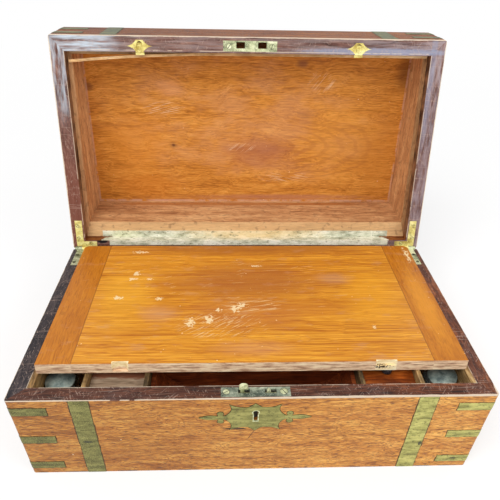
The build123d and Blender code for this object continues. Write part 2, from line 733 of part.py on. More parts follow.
def inkwell():
    body = extrude(Rectangle(INKWELL_SIZE, INKWELL_SIZE), INKWELL_BODY_HEIGHT)
    body = chamfer(body.edges().filter_by(Axis.Z), INKWELL_CORNER)
    body = chamfer(body.edges().group_by(Axis.Z)[-1], INKWELL_SHOULDER)
    neck = prism(
        Circle(INKWELL_NECK_DIAMETER / 2),
        INKWELL_BODY_HEIGHT,
        INKWELL_BODY_HEIGHT + INKWELL_NECK_HEIGHT,
    )
    neck_top = INKWELL_BODY_HEIGHT + INKWELL_NECK_HEIGHT
    bore = prism(Circle(INKWELL_BORE_DIAMETER / 2), neck_top - INKWELL_BORE_DEPTH, neck_top)
    return body + neck - bore


def inkwell_cap():
    """A round cap with a shallow domed top, a thin edge and a plug below."""
    plug = prism(Circle(CAP_PLUG_DIAMETER / 2), -CAP_PLUG_DEPTH, 0)
    return plug + domed_disc(CAP_DIAMETER / 2, CAP_EDGE, CAP_HEIGHT)


cap_z = TRAY_FLOOR_TOP + INKWELL_BODY_HEIGHT + INKWELL_NECK_HEIGHT + CAP_SEAT_GAP
tilt_rise = INKWELL_NECK_DIAMETER / 2 * sin(radians(CAP_TILT_DEG))
nodes["inkwell_left"] = Pos(-INKWELL_X, INKWELL_Y, TRAY_FLOOR_TOP) * inkwell()
nodes["inkwell_right"] = Pos(INKWELL_X, INKWELL_Y, TRAY_FLOOR_TOP) * inkwell()
nodes["inkwell_cap_left"] = Pos(-INKWELL_X, INKWELL_Y, cap_z) * inkwell_cap()
nodes["inkwell_cap_right"] = (
    Pos(INKWELL_X + CAP_SHIFT, INKWELL_Y, cap_z + tilt_rise)
    * Rot(0, -CAP_TILT_DEG, 0)
    * inkwell_cap()
)


# Lid: mitred walls and facings, a top board, linings that stop short of the rim

let_into_lid = {
    "front": lid_straps + lid_corners + [strike_blank, strike_pocket] + catch_seats,
    "back": lid_straps + lid_corners + leaf_seats["lid"],
    "left": lid_corners + leaf_seats["lid"],
    "right": lid_corners + leaf_seats["lid"],
}
lid_frame = mitred_frame(outline, lid_inside, HINGE_HEIGHT, LID_PANEL_Z)
for side, blank in lid_frame.items():
    body = blank & outer_form
    wall = body & slab(-WALL_TOP, 2 * HEIGHT)
    facing = body & slab(RIM, -WALL_TOP)
    nodes[f"lid_wall_{side}"] = open_lid * cut_for(wall, let_into_lid[side])
    nodes[f"lid_rim_{side}"] = open_lid * cut_for(facing, let_into_lid[side])

lid_top = outer_form & block((-WIDTH, WIDTH), (-DEPTH, DEPTH), (LID_PANEL_Z, 2 * HEIGHT))
nodes["lid_top"] = open_lid * cut_for(lid_top, lid_straps)
for side, blank in mitred_frame(lid_inside, lined_lid, HINGE_HEIGHT, LID_PANEL_Z).items():
    nodes[f"lid_lining_{side}"] = open_lid * (blank & slab(LID_REBATE, 2 * HEIGHT))
nodes["lid_straps"] = open_lid * Compound(lid_straps)
nodes["lid_corners"] = open_lid * Compound(lid_corners)


# Loose strip: its right half lies against the lid's front wall, its left half has sprung away

def strip_edge(from_wall):
    """One long edge of the strip, as lines and an arc seen along the rim slope."""
    straight_y = -(strip_seat - from_wall)
    start = (strip_end, straight_y)
    middle = (STRIP_SPRUNG_X, straight_y)
    end = (-strip_end, straight_y + STRIP_DROP)
    return start, middle, end


strip_seat = (AXIS_Y + DEPTH / 2 - LID_FRONT_WALL) / cos(SLOPE)
strip_end = lid_inside[2] - STRIP_END_GAP
low_start, low_middle, low_end = strip_edge(STRIP_WALL_GAP)
high_start, high_middle, high_end = strip_edge(STRIP_WALL_GAP + STRIP_THICKNESS)
strip_plan = bounded(
    Line(low_start, low_middle),
    TangentArc(low_middle, low_end, tangent=(-1, 0)),
    Line(low_end, high_end),
    TangentArc(high_middle, high_end, tangent=(-1, 0)),
    Line(high_middle, high_start),
    Line(high_start, low_start),
)
strip_high = LID_REBATE - RIM_GAP
nodes["lid_loose_strip"] = (
    open_lid * rim_frame * prism(strip_plan, strip_high - STRIP_HEIGHT, strip_high)
)


# Writing flap: a panel between two grooved clamps, lying loose on the base

flap_low = -RIM + FLAP_GAP
flap_half = WIDTH / 2 - FLAP_FROM_SIDE
joint_x = flap_half - CLAMP_WIDTH
flap_length = FLAP_FRONT - FLAP_BACK
flap_middle = (FLAP_FRONT + FLAP_BACK) / 2
flap_blank = on_rim(0, flap_middle, flap_low + FLAP_THICKNESS / 2) * Box(
    2 * flap_half, flap_length, FLAP_THICKNESS
)
corner_cut = rim_frame * prism(
    flat(
        (flap_half - FLAP_CORNER, -FLAP_BACK),
        (flap_half, -FLAP_BACK),
        (flap_half, -FLAP_BACK - FLAP_CORNER),
    ),
    flap_low,
    flap_low + FLAP_THICKNESS,
)
flap_blank = cut_for(flap_blank, both_sides(corner_cut))


def chip(x, width, depth, floor):
    """Wood torn from the flap's front edge where a catch plate was."""
    plan = [
        (x + across * width / 2, -FLAP_FRONT + deep * depth) for across, deep in CHIP_OUTLINE
    ]
    return rim_frame * prism(flat(*plan), flap_low + floor, 2 * FLAP_THICKNESS)


tongue_panel = on_rim(0, flap_middle, flap_low + FLAP_THICKNESS / 2) * Box(
    2 * (joint_x + FLAP_TONGUE), flap_length - 2 * FLAP_CORNER, FLAP_TONGUE_THICKNESS
)
middle_panel = flap_blank & block((-joint_x, joint_x), (-DEPTH, DEPTH), (0, HEIGHT))
flap_panel = middle_panel + tongue_panel
right_clamp = flap_blank & block((joint_x, WIDTH), (-DEPTH, DEPTH), (0, HEIGHT))
right_clamp -= tongue_panel
chips_x = (CHIPS_FROM_SIDE[0] - WIDTH / 2, WIDTH / 2 - CHIPS_FROM_SIDE[1])
chips = [chip(*sizes) for sizes in zip(chips_x, CHIP_WIDTHS, CHIP_DEPTHS, CHIP_FLOORS)]
nodes["flap_panel"] = cut_for(flap_panel, chips)
nodes["flap_clamp_right"], nodes["flap_clamp_left"] = both_sides(right_clamp)

os.makedirs("parts", exist_ok=True)
for name, shape in nodes.items():
    export_step(shape, f"parts/{name}.step")
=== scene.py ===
import json
import random
from functools import partial, reduce
from math import atan2, cos, pi, radians, sin

import bmesh
import bpy
from mathutils import Matrix, Vector


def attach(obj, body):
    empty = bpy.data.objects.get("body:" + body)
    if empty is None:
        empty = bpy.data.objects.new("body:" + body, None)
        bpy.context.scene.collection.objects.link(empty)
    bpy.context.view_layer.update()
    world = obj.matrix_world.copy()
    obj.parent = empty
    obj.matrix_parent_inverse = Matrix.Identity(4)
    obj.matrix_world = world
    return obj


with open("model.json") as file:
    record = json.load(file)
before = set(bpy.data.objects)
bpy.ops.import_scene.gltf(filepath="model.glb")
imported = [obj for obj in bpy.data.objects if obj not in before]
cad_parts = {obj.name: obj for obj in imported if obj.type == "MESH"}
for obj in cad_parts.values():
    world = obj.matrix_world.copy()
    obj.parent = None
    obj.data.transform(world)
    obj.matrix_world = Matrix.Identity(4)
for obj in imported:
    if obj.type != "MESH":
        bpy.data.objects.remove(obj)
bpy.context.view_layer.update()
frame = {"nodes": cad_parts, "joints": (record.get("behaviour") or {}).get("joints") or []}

# Every size and place is in millimetres, in the CAD frame, and turned into metres where a
# mesh is made. Places on the lid are given closed, as the CAD model draws them.
MM = 0.001

WIDTH = 457.0
DEPTH = 260.0
HEIGHT = 184.0
FRONT_HEIGHT = 122.0
HINGE_HEIGHT = 92.0
LID_TOP = 9.0
WALL = 16.0
INSIDE_OF_WALL = WALL - 0.2
RIM = 0.15
SLOPE = atan2(FRONT_HEIGHT - HINGE_HEIGHT, DEPTH)
LID_OPEN = radians(98.6)
hinge = next(joint for joint in frame["joints"] if joint["name"] == "lid_hinge")
AXIS_Y = hinge["pos_m"][1] / MM

PLATE_Z = 92.5
STRAP_X = 162.5
STRAP_HALF = 9.0
BAND_HALF = 5.5
BAND_LEG = 35.0
LOW_BAND_Z = 14.8
BAND_BELOW_RIM = 17.0
LID_BAND_ABOVE_RIM = 17.0
LID_BAND_BELOW_TOP = 15.0
SEAM = 0.9

FLAP_FRONT = 227.8
FLAP_THICKNESS = 11.6
FLAP_JOINT_X = 175.5
CHIP_X = (-129.0, 128.5)
CHIP_WIDTHS = (15.5, 20.0)
CHIP_DEPTHS = (3.6, 2.4)
CHIP_LOW_Z = 119.8


# Places: points on the rim slope, and the lid's turn from closed to open

def rim_point(x, from_hinge, above):
    """A point given along the rim slope: from the hinge line, and above the slope."""
    y = AXIS_Y - from_hinge * cos(SLOPE) + above * sin(SLOPE)
    z = HINGE_HEIGHT + from_hinge * sin(SLOPE) + above * cos(SLOPE)
    return Vector((x, y, z))


def turn_about_hinge(angle):
    centre = Vector((0, AXIS_Y, HINGE_HEIGHT))
    return Matrix.Translation(centre) @ Matrix.Rotation(angle, 4, "X") @ Matrix.Translation(-centre)


open_lid = turn_about_hinge(-LID_OPEN)
closed_again = turn_about_hinge(LID_OPEN)


def rim_frame(x, from_hinge, above, facing_up=True):
    """A frame on the rim slope whose Z leaves the surface: upward, or downward under the lid."""
    tilt = -SLOPE if facing_up else pi - SLOPE
    return Matrix.Translation(rim_point(x, from_hinge, above)) @ Matrix.Rotation(tilt, 4, "X")


# Materials

METALLIC = 0.35
SPECULAR = 0.28
SPECULAR_ON_LID = 0.12


def feed(tree, node, inputs):
    """Put values, or other nodes' outputs, on a node's inputs."""
    for key, value in inputs.items():
        if isinstance(value, bpy.types.NodeSocket):
            tree.links.new(value, node.inputs[key])
        else:
            node.inputs[key].default_value = value


def add_node(tree, kind, inputs=None, **settings):
    node = tree.nodes.new(kind)
    for key, value in settings.items():
        setattr(node, key, value)
    feed(tree, node, inputs or {})
    return node


class Paint:
    """The nodes of one material. Its places are in millimetres, and the lid's are closed."""

    def __init__(self, name, on_lid=False):
        self.material = bpy.data.materials.new(name)
        self.material.use_nodes = True
        self.tree = self.material.node_tree
        self.surface = self.tree.nodes["Principled BSDF"]
        coordinates = self.add("ShaderNodeTexCoord")
        self.place = self.turned(coordinates.outputs["Object"], "POINT", on_lid, 1 / MM)
        self.facing = self.turned(coordinates.outputs["Normal"], "VECTOR", on_lid, 1.0)
        self.x, self.y, self.z = self.parts(self.place)

    def add(self, kind, inputs=None, **settings):
        return add_node(self.tree, kind, inputs, **settings)

    def turned(self, vector, kind, on_lid, scale):
        turn = LID_OPEN if on_lid else 0.0
        shift = closed_again.translation if on_lid and kind == "POINT" else Vector()
        node = self.add("ShaderNodeMapping", {"Vector": vector}, vector_type=kind)
        node.inputs["Rotation"].default_value = (turn, 0, 0)
        node.inputs["Scale"].default_value = (scale, scale, scale)
        if kind == "POINT":
            node.inputs["Location"].default_value = shift
        return node.outputs["Vector"]

    def parts(self, vector):
        node = self.add("ShaderNodeSeparateXYZ", {"Vector": vector})
        return node.outputs["X"], node.outputs["Y"], node.outputs["Z"]

    def math(self, operation, first, second=0.0):
        return self.add("ShaderNodeMath", {0: first, 1: second}, operation=operation).outputs[0]

    def times(self, first, second):
        return self.math("MULTIPLY", first, second)

    def plus(self, first, second, share=1.0):
        """The first value with a share of the second added."""
        return self.math("ADD", first, second if share == 1.0 else self.times(second, share))

    def minus(self, first, second):
        return self.math("SUBTRACT", first, second)

    def size(self, value):
        """The value without its sign."""
        return self.math("ABSOLUTE", value)

    def below(self, value, limit):
        """A hard mask of the places where a value is under its limit."""
        return self.math("LESS_THAN", value, limit)

    def places(self, operation, first, second):
        """The same sum for each of a place's three parts."""
        node = self.add("ShaderNodeVectorMath", {0: first, 1: second}, operation=operation)
        return node.outputs[0]

    def rise(self, value, low, high):
        """0 below low, 1 above high, smooth between."""
        node = self.add(
            "ShaderNodeMapRange",
            {"Value": value, "From Min": low, "From Max": high},
            interpolation_type="SMOOTHSTEP",
        )
        return node.outputs["Result"]

    def fall(self, value, low, high):
        return self.minus(1.0, self.rise(value, low, high))

    def both(self, *masks):
        return reduce(self.times, masks)

    def either(self, *masks):
        return reduce(partial(self.math, "MAXIMUM"), masks)

    def apart(self, first, second):
        """How far two values lie from each other."""
        return self.size(self.minus(first, second))

    def stretched(self, lengths, turn=0.0):
        """Places divided by a pattern's length, which is one number or one for each axis."""
        if not isinstance(lengths, tuple):
            lengths = (lengths,) * 3
        turned = self.place
        if turn:
            turned = self.add(
                "ShaderNodeMapping", {"Vector": turned, "Rotation": (0, 0, turn)}
            ).outputs["Vector"]
        return self.places("MULTIPLY", turned, Vector([1 / length for length in lengths]))

    def noise(self, lengths, detail=3.0, roughness=0.55, seed=0.0, turn=0.0):
        vector = self.stretched(lengths, turn)
        if seed:
            vector = self.places("ADD", vector, (seed, seed, seed))
        node = self.add(
            "ShaderNodeTexNoise",
            {"Vector": vector, "Scale": 1.0, "Detail": detail, "Roughness": roughness},
        )
        return node.outputs["Fac"]

    def mix(self, mask, first, second, blend="MIX"):
        node = self.add(
            "ShaderNodeMix",
            {0: mask, 6: self.colour(first), 7: self.colour(second)},
            data_type="RGBA",
            blend_type=blend,
        )
        return node.outputs[2]

    def tint(self, mask, share, first, second, blend="MIX"):
        """The first colour, with a share of the second laid over it where the mask is."""
        return self.mix(self.times(mask, share), first, second, blend)

    def colour(self, value):
        return value if isinstance(value, bpy.types.NodeSocket) else (*value, 1.0)

    def ramp(self, value, stops):
        node = self.add("ShaderNodeValToRGB", {"Fac": value})
        elements = node.color_ramp.elements
        while len(elements) < len(stops):
            elements.new(0.5)
        for element, (position, colour) in zip(elements, stops):
            element.position = position
            element.color = (*colour, 1.0)
        return node.outputs["Color"]

    def distance(self, centre, radii):
        """The distance from a place, where 1 is the surface of an ellipsoid of these radii."""
        away = self.places("SUBTRACT", self.place, centre)
        away = self.places("MULTIPLY", away, Vector([1 / radius for radius in radii]))
        return self.add("ShaderNodeVectorMath", {0: away}, operation="LENGTH").outputs["Value"]

    def spot(self, centre, radii, soft=0.35):
        """A soft blotch round a place, with an uneven edge."""
        length = self.distance(centre, radii)
        wobble = self.noise(min(radii) * 0.6, detail=4.0, seed=centre[0] * 0.1)
        length = self.plus(length, wobble, soft * 2)
        return self.fall(length, 1.0 + soft * 0.2, 1.0 + soft * 1.6)

    def cloud(self, centre, radii):
        """A wide stain that fades out softly from a place."""
        length = self.distance(centre, radii)
        wobble = self.noise(max(min(radii), 8.0), seed=centre[0] * 0.13)
        length = self.plus(length, wobble, 0.6)
        return self.fall(length, 0.55, 1.45)

    def fleck(self, centre, radii):
        """A small crisp mark with a ragged outline."""
        length = self.distance(centre, radii)
        wobble = self.noise(min(radii) * 0.8, seed=centre[0] * 0.17)
        ragged = self.plus(length, self.minus(wobble, 0.5), 4.5)
        return self.fall(ragged, 0.75, 1.0)

    def specks(self, size, spacing, seed):
        """Small scattered dots, uneven in size."""
        vector = self.places("ADD", self.stretched(spacing), (seed, seed, seed))
        cells = self.add("ShaderNodeTexVoronoi", {"Vector": vector, "Scale": 1.0})
        uneven = self.noise(spacing * 2.5, seed=seed + 3.0)
        reach = self.times(self.rise(uneven, 0.5, 0.75), size / spacing)
        return self.below(cells.outputs["Distance"], reach)

    def scratches(self, length, width, turn, sparse, seed):
        """Fine lines that run one way, fewer the nearer sparse is to 1."""
        lines = self.noise((width, length, width), detail=0.0, seed=seed, turn=turn)
        return self.rise(lines, sparse, sparse + 0.05)

    def finish(self, colour, roughness, height=None, depth=0.1, specular=SPECULAR):
        """Give the surface its colour, roughness and bumps, which are depth millimetres deep."""
        self.surface.inputs["Specular IOR Level"].default_value = specular
        feed(self.tree, self.surface, {"Base Color": colour, "Roughness": roughness})
        if height is not None:
            bump = self.add(
                "ShaderNodeBump", {"Height": height, "Distance": depth * MM, "Strength": 1.0}
            )
            feed(self.tree, self.surface, {"Normal": bump.outputs["Normal"]})
        return self.material


def seen(red, green, blue):
    """A colour as a screen shows it, 0 to 255, in the linear values that Blender mixes."""
    return tuple(((channel / 255 + 0.055) / 1.055) ** 2.4 for channel in (red, green, blue))


def toned(colour, factor):
    """A colour made darker or lighter."""
    return tuple(channel * factor for channel in colour)


# Tones of each wood and metal: dark, middle and light
MAHOGANY = (seen(128, 70, 24), seen(206, 138, 58), seen(240, 184, 96))
PANEL = (seen(148, 84, 30), seen(206, 134, 54), seen(234, 168, 82))
ROSEWOOD = (seen(34, 16, 12), seen(82, 47, 34), seen(128, 82, 60))
# The left base rim's rosewood as a darker, bluish-grey copy: its blue-grey cast is painted sheen.
ROSEWOOD_WITH_PAINTED_SHEEN = (seen(18, 16, 20), seen(42, 36, 40), seen(82, 70, 68))
LID_MAHOGANY = (seen(84, 38, 18), seen(140, 80, 38), seen(184, 122, 66))
LID_ROSEWOOD = (seen(58, 32, 26), seen(108, 72, 62), seen(146, 108, 94))
GOLDEN = (seen(168, 94, 26), seen(210, 138, 38), seen(236, 170, 58))
CLAMP = (seen(150, 78, 16), seen(186, 112, 24), seen(208, 136, 38))
LINING = (seen(146, 96, 60), seen(198, 146, 98), seen(228, 186, 134))
TRAY = (seen(84, 34, 14), seen(134, 60, 26), seen(178, 94, 44))
RED = (seen(84, 32, 12), seen(160, 76, 24), seen(204, 112, 42))
DUSTY_LID = (seen(112, 92, 72), seen(150, 126, 102), seen(178, 156, 130))
PALE = (seen(96, 70, 38), seen(172, 134, 82), seen(214, 182, 130))
# The inner partitions' copy of the pale wood, darker for painted shade.
PALE_IN_PAINTED_SHADE = (seen(40, 30, 18), seen(96, 74, 44), seen(150, 124, 80))
STRIP = (seen(190, 140, 84), seen(232, 188, 132), seen(246, 214, 170))
DEAL = (seen(128, 92, 60), seen(176, 142, 104), seen(200, 170, 130))
EBONY = (seen(14, 12, 14), seen(32, 28, 30), seen(60, 54, 58))
DIRT = seen(38, 26, 18)
PATINA = (seen(52, 60, 40), seen(88, 92, 58), seen(132, 130, 80))
STRAP_PATINA = (seen(124, 120, 60), seen(168, 164, 90), seen(202, 196, 116))
PLATE_PATINA = tuple(toned(tone, 0.66) for tone in STRAP_PATINA)
BRIGHT = (seen(184, 160, 78), seen(228, 214, 128), seen(246, 238, 172))
GREY_GREEN = (seen(76, 88, 78), seen(132, 142, 124), seen(186, 194, 170))
LIMED = (seen(120, 128, 96), seen(196, 202, 158), seen(234, 236, 200))
HOOK_BRASS = (seen(150, 154, 104), seen(204, 206, 156), seen(236, 236, 200))
STEEL = (seen(40, 38, 34), seen(78, 76, 70), seen(120, 116, 108))
# The colour of the linings' thin edges, which face down when the lid is closed
LINING_EDGES = {
    "front": seen(236, 196, 140), "back": seen(236, 196, 140), "left": seen(204, 150, 104),
    "right": seen(120, 80, 44),
}

GRAIN = {"x": (1, 0, 0), "y": (0, 1, 0), "z": (0, 0, 1)}


def along_grain(grain, along, across):
    """A pattern's lengths on three axes: one along the grain, another across it."""
    return tuple(along if step else across for step in GRAIN[grain])


def wood(paint, grain, tones, streak=(34.0, 2.0), figure=0.4, soft=0.15, pores=0.4, wave=3.0,
         seed=0.0):
    """Wood colour and height: broad figure, wavy streaks and fine dark pores."""
    dark, middle, light = tones
    drift = paint.noise(along_grain(grain, 70.0, 40.0), detail=2.0, seed=seed + 7.0)
    shift = paint.times(paint.minus(drift, 0.5), wave * 6)
    sideways = {axis: shift for axis in "XYZ" if axis != grain.upper()}
    offset = paint.add("ShaderNodeCombineXYZ", sideways)
    straight = paint.place
    paint.place = paint.places("ADD", straight, offset.outputs[0])
    length, width = streak
    broad = paint.noise(along_grain(grain, length * 5, width * 6), seed=seed)
    streaks = paint.noise(along_grain(grain, length, width), seed=seed + 2)
    fibres = paint.noise(along_grain(grain, length / 2, width / 2), detail=1.0, seed=seed + 4)
    paint.place = straight
    tone = paint.plus(paint.times(broad, figure), streaks, 1.0 - figure)
    colour = paint.ramp(tone, [(0.5 - soft, dark), (0.5, middle), (0.5 + soft, light)])
    pore = paint.times(paint.fall(fibres, 0.35, 0.43), pores)
    colour = paint.mix(pore, colour, toned(dark, 0.6))
    height = paint.minus(streaks, pore)
    return colour, height


def band_rows(on_lid):
    """The heights of the corner bands at the front and at the back."""
    if on_lid:
        rows = (FRONT_HEIGHT + LID_BAND_ABOVE_RIM, HEIGHT - LID_BAND_BELOW_TOP)
        return rows, rows
    front_top = FRONT_HEIGHT - BAND_BELOW_RIM
    back_top = HINGE_HEIGHT - BAND_BELOW_RIM
    front = (LOW_BAND_Z, (LOW_BAND_Z + front_top) / 2, front_top)
    back = (LOW_BAND_Z, (LOW_BAND_Z + back_top) / 2, back_top)
    return front, back


def brass_seams(paint, on_lid):
    """Dark lines in the wood round the inlaid straps and corner bands."""
    far_x = paint.size(paint.x)
    uneven = paint.noise(7.0, seed=31.0)
    seam = paint.plus(SEAM * 0.6, paint.rise(uneven, 0.4, 0.7), SEAM)
    strap = paint.below(paint.minus(paint.apart(far_x, STRAP_X), STRAP_HALF), seam)
    deep = paint.either(
        paint.rise(paint.size(paint.y), DEPTH / 2 - 2.0, DEPTH / 2 - 1.5),
        paint.rise(paint.z, HEIGHT - 2.0, HEIGHT - 1.5),
    )
    masks = [paint.both(strap, deep)]
    leg_x = paint.math("GREATER_THAN", paint.plus(far_x, seam), WIDTH / 2 - BAND_LEG)
    for side, rows in zip((-1, 1), band_rows(on_lid)):
        out = paint.times(paint.y, side)
        leg_y = paint.rise(out, DEPTH / 2 - BAND_LEG - SEAM, DEPTH / 2 - BAND_LEG - SEAM / 2)
        for z in rows:
            level = paint.apart(paint.z, z)
            row = paint.below(paint.minus(level, BAND_HALF), seam)
            masks.append(paint.both(leg_x, leg_y, row))
    return paint.either(*masks)


def wood_breaks(paint):
    """The dark break in the wood under the escutcheon's left half, and the crack below it."""
    front = paint.fall(paint.y, -DEPTH / 2 + 0.4, -DEPTH / 2 + 0.8)
    break_spot = paint.spot((-19.5, -DEPTH / 2, PLATE_Z - 18.4), (11.0, 20.0, 1.6), 0.25)
    below = paint.minus(PLATE_Z - 21.0, paint.z)
    leaning = paint.plus(paint.x, below, 0.42)
    crack = paint.below(paint.size(leaning), 0.35)
    low = paint.both(
        paint.rise(paint.z, PLATE_Z - 36.0, PLATE_Z - 34.0),
        paint.fall(paint.z, PLATE_Z - 21.4, PLATE_Z - 20.8),
    )
    return paint.both(front, paint.either(break_spot, paint.both(crack, low)))


def outer_edges(paint, width):
    """The carcass's outer arrises: the places near two of its outer faces at once."""
    near_x = paint.rise(paint.size(paint.x), WIDTH / 2 - width, WIDTH / 2)
    near_y = paint.rise(paint.size(paint.y), DEPTH / 2 - width, DEPTH / 2)
    near_z = paint.either(
        paint.rise(paint.z, HEIGHT - width, HEIGHT), paint.fall(paint.z, 0.0, width)
    )
    return paint.either(
        paint.both(near_x, near_y), paint.both(near_x, near_z), paint.both(near_y, near_z)
    )


def carcass_colour(paint, grain, tones, on_lid, seed):
    """The outside of the box: wavy streaks, painted shade that darkens it towards the left, with
    seams, specks and dirt.
    """
    colour, height = wood(paint, grain, tones, (11.0, 1.0), 0.42, 0.15, 0.85, 2.5, seed)
    # Painted shade: the carcass is darkened towards the left, for less light falling there.
    shaded_leftward = paint.fall(paint.x, -230.0, 190.0)
    colour = paint.tint(shaded_leftward, 0.9, colour, (0.70, 0.64, 0.56), "MULTIPLY")
    patches = paint.noise(along_grain(grain, 90.0, 26.0), seed=seed + 11)
    colour = paint.tint(
        paint.fall(patches, 0.38, 0.54), 0.50, colour, (0.78, 0.64, 0.56), "MULTIPLY"
    )
    edge_dirt = paint.rise(paint.noise(14.0, seed=seed + 5), 0.44, 0.60)
    colour = paint.mix(paint.both(outer_edges(paint, 2.2), edge_dirt), colour, DIRT)
    colour = paint.tint(brass_seams(paint, on_lid), 0.85, colour, DIRT)
    colour = paint.tint(paint.specks(0.9, 9.0, seed), 0.8, colour, seen(226, 200, 160))
    colour = paint.tint(paint.specks(1.2, 8.0, seed + 9), 0.75, colour, DIRT)
    return colour, height


def carcass_material(name, grain, tones=MAHOGANY, on_lid=False, seed=0.0):
    paint = Paint(name, on_lid)
    colour, height = carcass_colour(paint, grain, tones, on_lid, seed)
    if not on_lid:
        colour = paint.tint(wood_breaks(paint), 0.85, colour, DIRT)
    # Painted shade: the walls' inner faces are drawn dark brown, for the shade that falls inside
    # the box and in the gaps by the linings.
    within = paint.both(
        paint.below(paint.size(paint.x), WIDTH / 2 - INSIDE_OF_WALL),
        paint.below(paint.size(paint.y), DEPTH / 2 - INSIDE_OF_WALL),
        paint.below(paint.z, HEIGHT - LID_TOP + 0.1),
    )
    painted_wall_shade = paint.ramp(
        paint.noise(20.0, detail=4.0, seed=seed + 20),
        [(0.35, seen(70, 46, 32)), (0.65, seen(150, 108, 76))],
    )
    colour = paint.mix(within, colour, painted_wall_shade)
    roughness = paint.plus(0.40, height, 0.22)
    specular = SPECULAR_ON_LID if on_lid else SPECULAR
    return paint.finish(colour, roughness, height, 0.14, specular)


def ring_lines(paint, centre, radii, count, seed):
    """Nested arcs of figure round a place, as flat-sawn wood shows."""
    length = paint.distance(centre, radii)
    wobble = paint.noise((60.0, 22.0, 40.0), seed=seed)
    length = paint.plus(length, wobble, 0.45)
    wave = paint.math("SINE", paint.times(length, 2 * pi * count))
    return paint.both(paint.rise(wave, 0.1, 0.95), paint.fall(length, 1.5, 1.9))


# Stains and painted shadow: the centre and the radii on the board, how strong, and the colour
PANEL_CLOUDS = (
    ((15, 26), (62, 26), 0.55, (164, 98, 76)),
    ((-150, 20), (50, 60), 0.40, (214, 134, 44)),
    ((-140, 75), (60, 22), 0.45, (196, 112, 34)),
    ((180, 20), (34, 70), 0.45, (206, 134, 54)),
    ((120, 10), (60, 70), 0.40, (218, 150, 68)),
    # Painted shadow: this dark cloud at the right edge stands for the shade the right wall casts on
    # the panel.
    ((206, -84), (18, 30), 0.55, (104, 66, 40)),
    ((0, 96), (200, 9), 0.45, (176, 108, 62)),
    ((-206, -60), (11, 8), 0.70, (112, 62, 44)),
    ((69, -92), (9, 7), 0.65, (120, 72, 58)),
    ((60, 92), (150, 5), 0.55, (184, 122, 92)),
    ((-100, -60), (22, 14), 0.35, (222, 160, 122)),
)
# Patches of scratches: the centre and the radii, and the way they run
PANEL_SCRATCHES = (
    ((-112, -34), (26, 9), 1.8), ((-8, 19), (18, 6), 2.3), ((96, -68), (16, 12), 2.5),
    ((52, 62), (34, 7), 1.35),
)


def lid_top_material():
    """One board: the outside is finished as the carcass is, the inside is a hazy panel."""
    paint = Paint("lid_board", True)
    board_z = HEIGHT - LID_TOP
    outside, outer_height = carcass_colour(paint, "x", LID_MAHOGANY, True, 40.0)
    inside, height = wood(paint, "x", PANEL, (17.0, 1.4), 0.4, 0.20, 0.3, 4.0, 21.0)
    arcs = ring_lines(paint, (35.0, 18.0, board_z), (98.0, 34.0, 60.0), 4.5, 5.0)
    right_half = paint.rise(paint.x, 25.0, 75.0)
    inside = paint.tint(paint.both(arcs, right_half), 0.45, inside, seen(160, 88, 42))
    haze = paint.noise((75.0, 40.0, 45.0), detail=5.0, roughness=0.6, seed=17.0)
    middle = paint.spot((-5.0, -20.0, board_z), (170.0, 85.0, 60.0), 0.5)
    inside = paint.tint(
        paint.both(middle, paint.rise(haze, 0.40, 0.62)), 0.38, inside, seen(204, 148, 108)
    )
    # The clouds' colours: stains, and the painted shadow at the right edge.
    for centre, radii, strength, stain in PANEL_CLOUDS:
        cloud = paint.cloud((*centre, board_z), (*radii, 40.0))
        inside = paint.tint(cloud, strength, inside, seen(*stain))
    for radius, strength in ((7.0, 0.35), (3.0, 0.8)):
        knot = paint.cloud((-99.4, 16.2, board_z), (radius, radius * 0.8, 30.0))
        inside = paint.tint(knot, strength, inside, seen(92, 50, 36))
    for centre, radii, turn in PANEL_SCRATCHES:
        patch = paint.spot((*centre, board_z), (*radii, 40.0), 0.5)
        lines = paint.scratches(26.0, 0.8, turn, 0.60, centre[0])
        inside = paint.tint(paint.both(patch, lines), 0.5, inside, seen(240, 208, 170))
    edge_x = paint.rise(paint.size(paint.x), 204.6, 206.4)
    edge_back = paint.rise(paint.y, 95.5, 97.5)
    dust = paint.rise(paint.noise(9.0, detail=4.0, seed=3.0), 0.34, 0.55)
    residue = paint.both(paint.either(edge_x, edge_back), dust)
    inside = paint.tint(residue, 0.75, inside, seen(205, 160, 134))
    inside = paint.tint(paint.specks(0.9, 7.0, 6.0), 0.8, inside, seen(240, 214, 180))
    under = paint.fall(paint.parts(paint.facing)[2], -0.8, -0.6)
    colour = paint.mix(under, outside, inside)
    return paint.finish(colour, 0.5, paint.mix(under, outer_height, height), 0.12, 0.10)


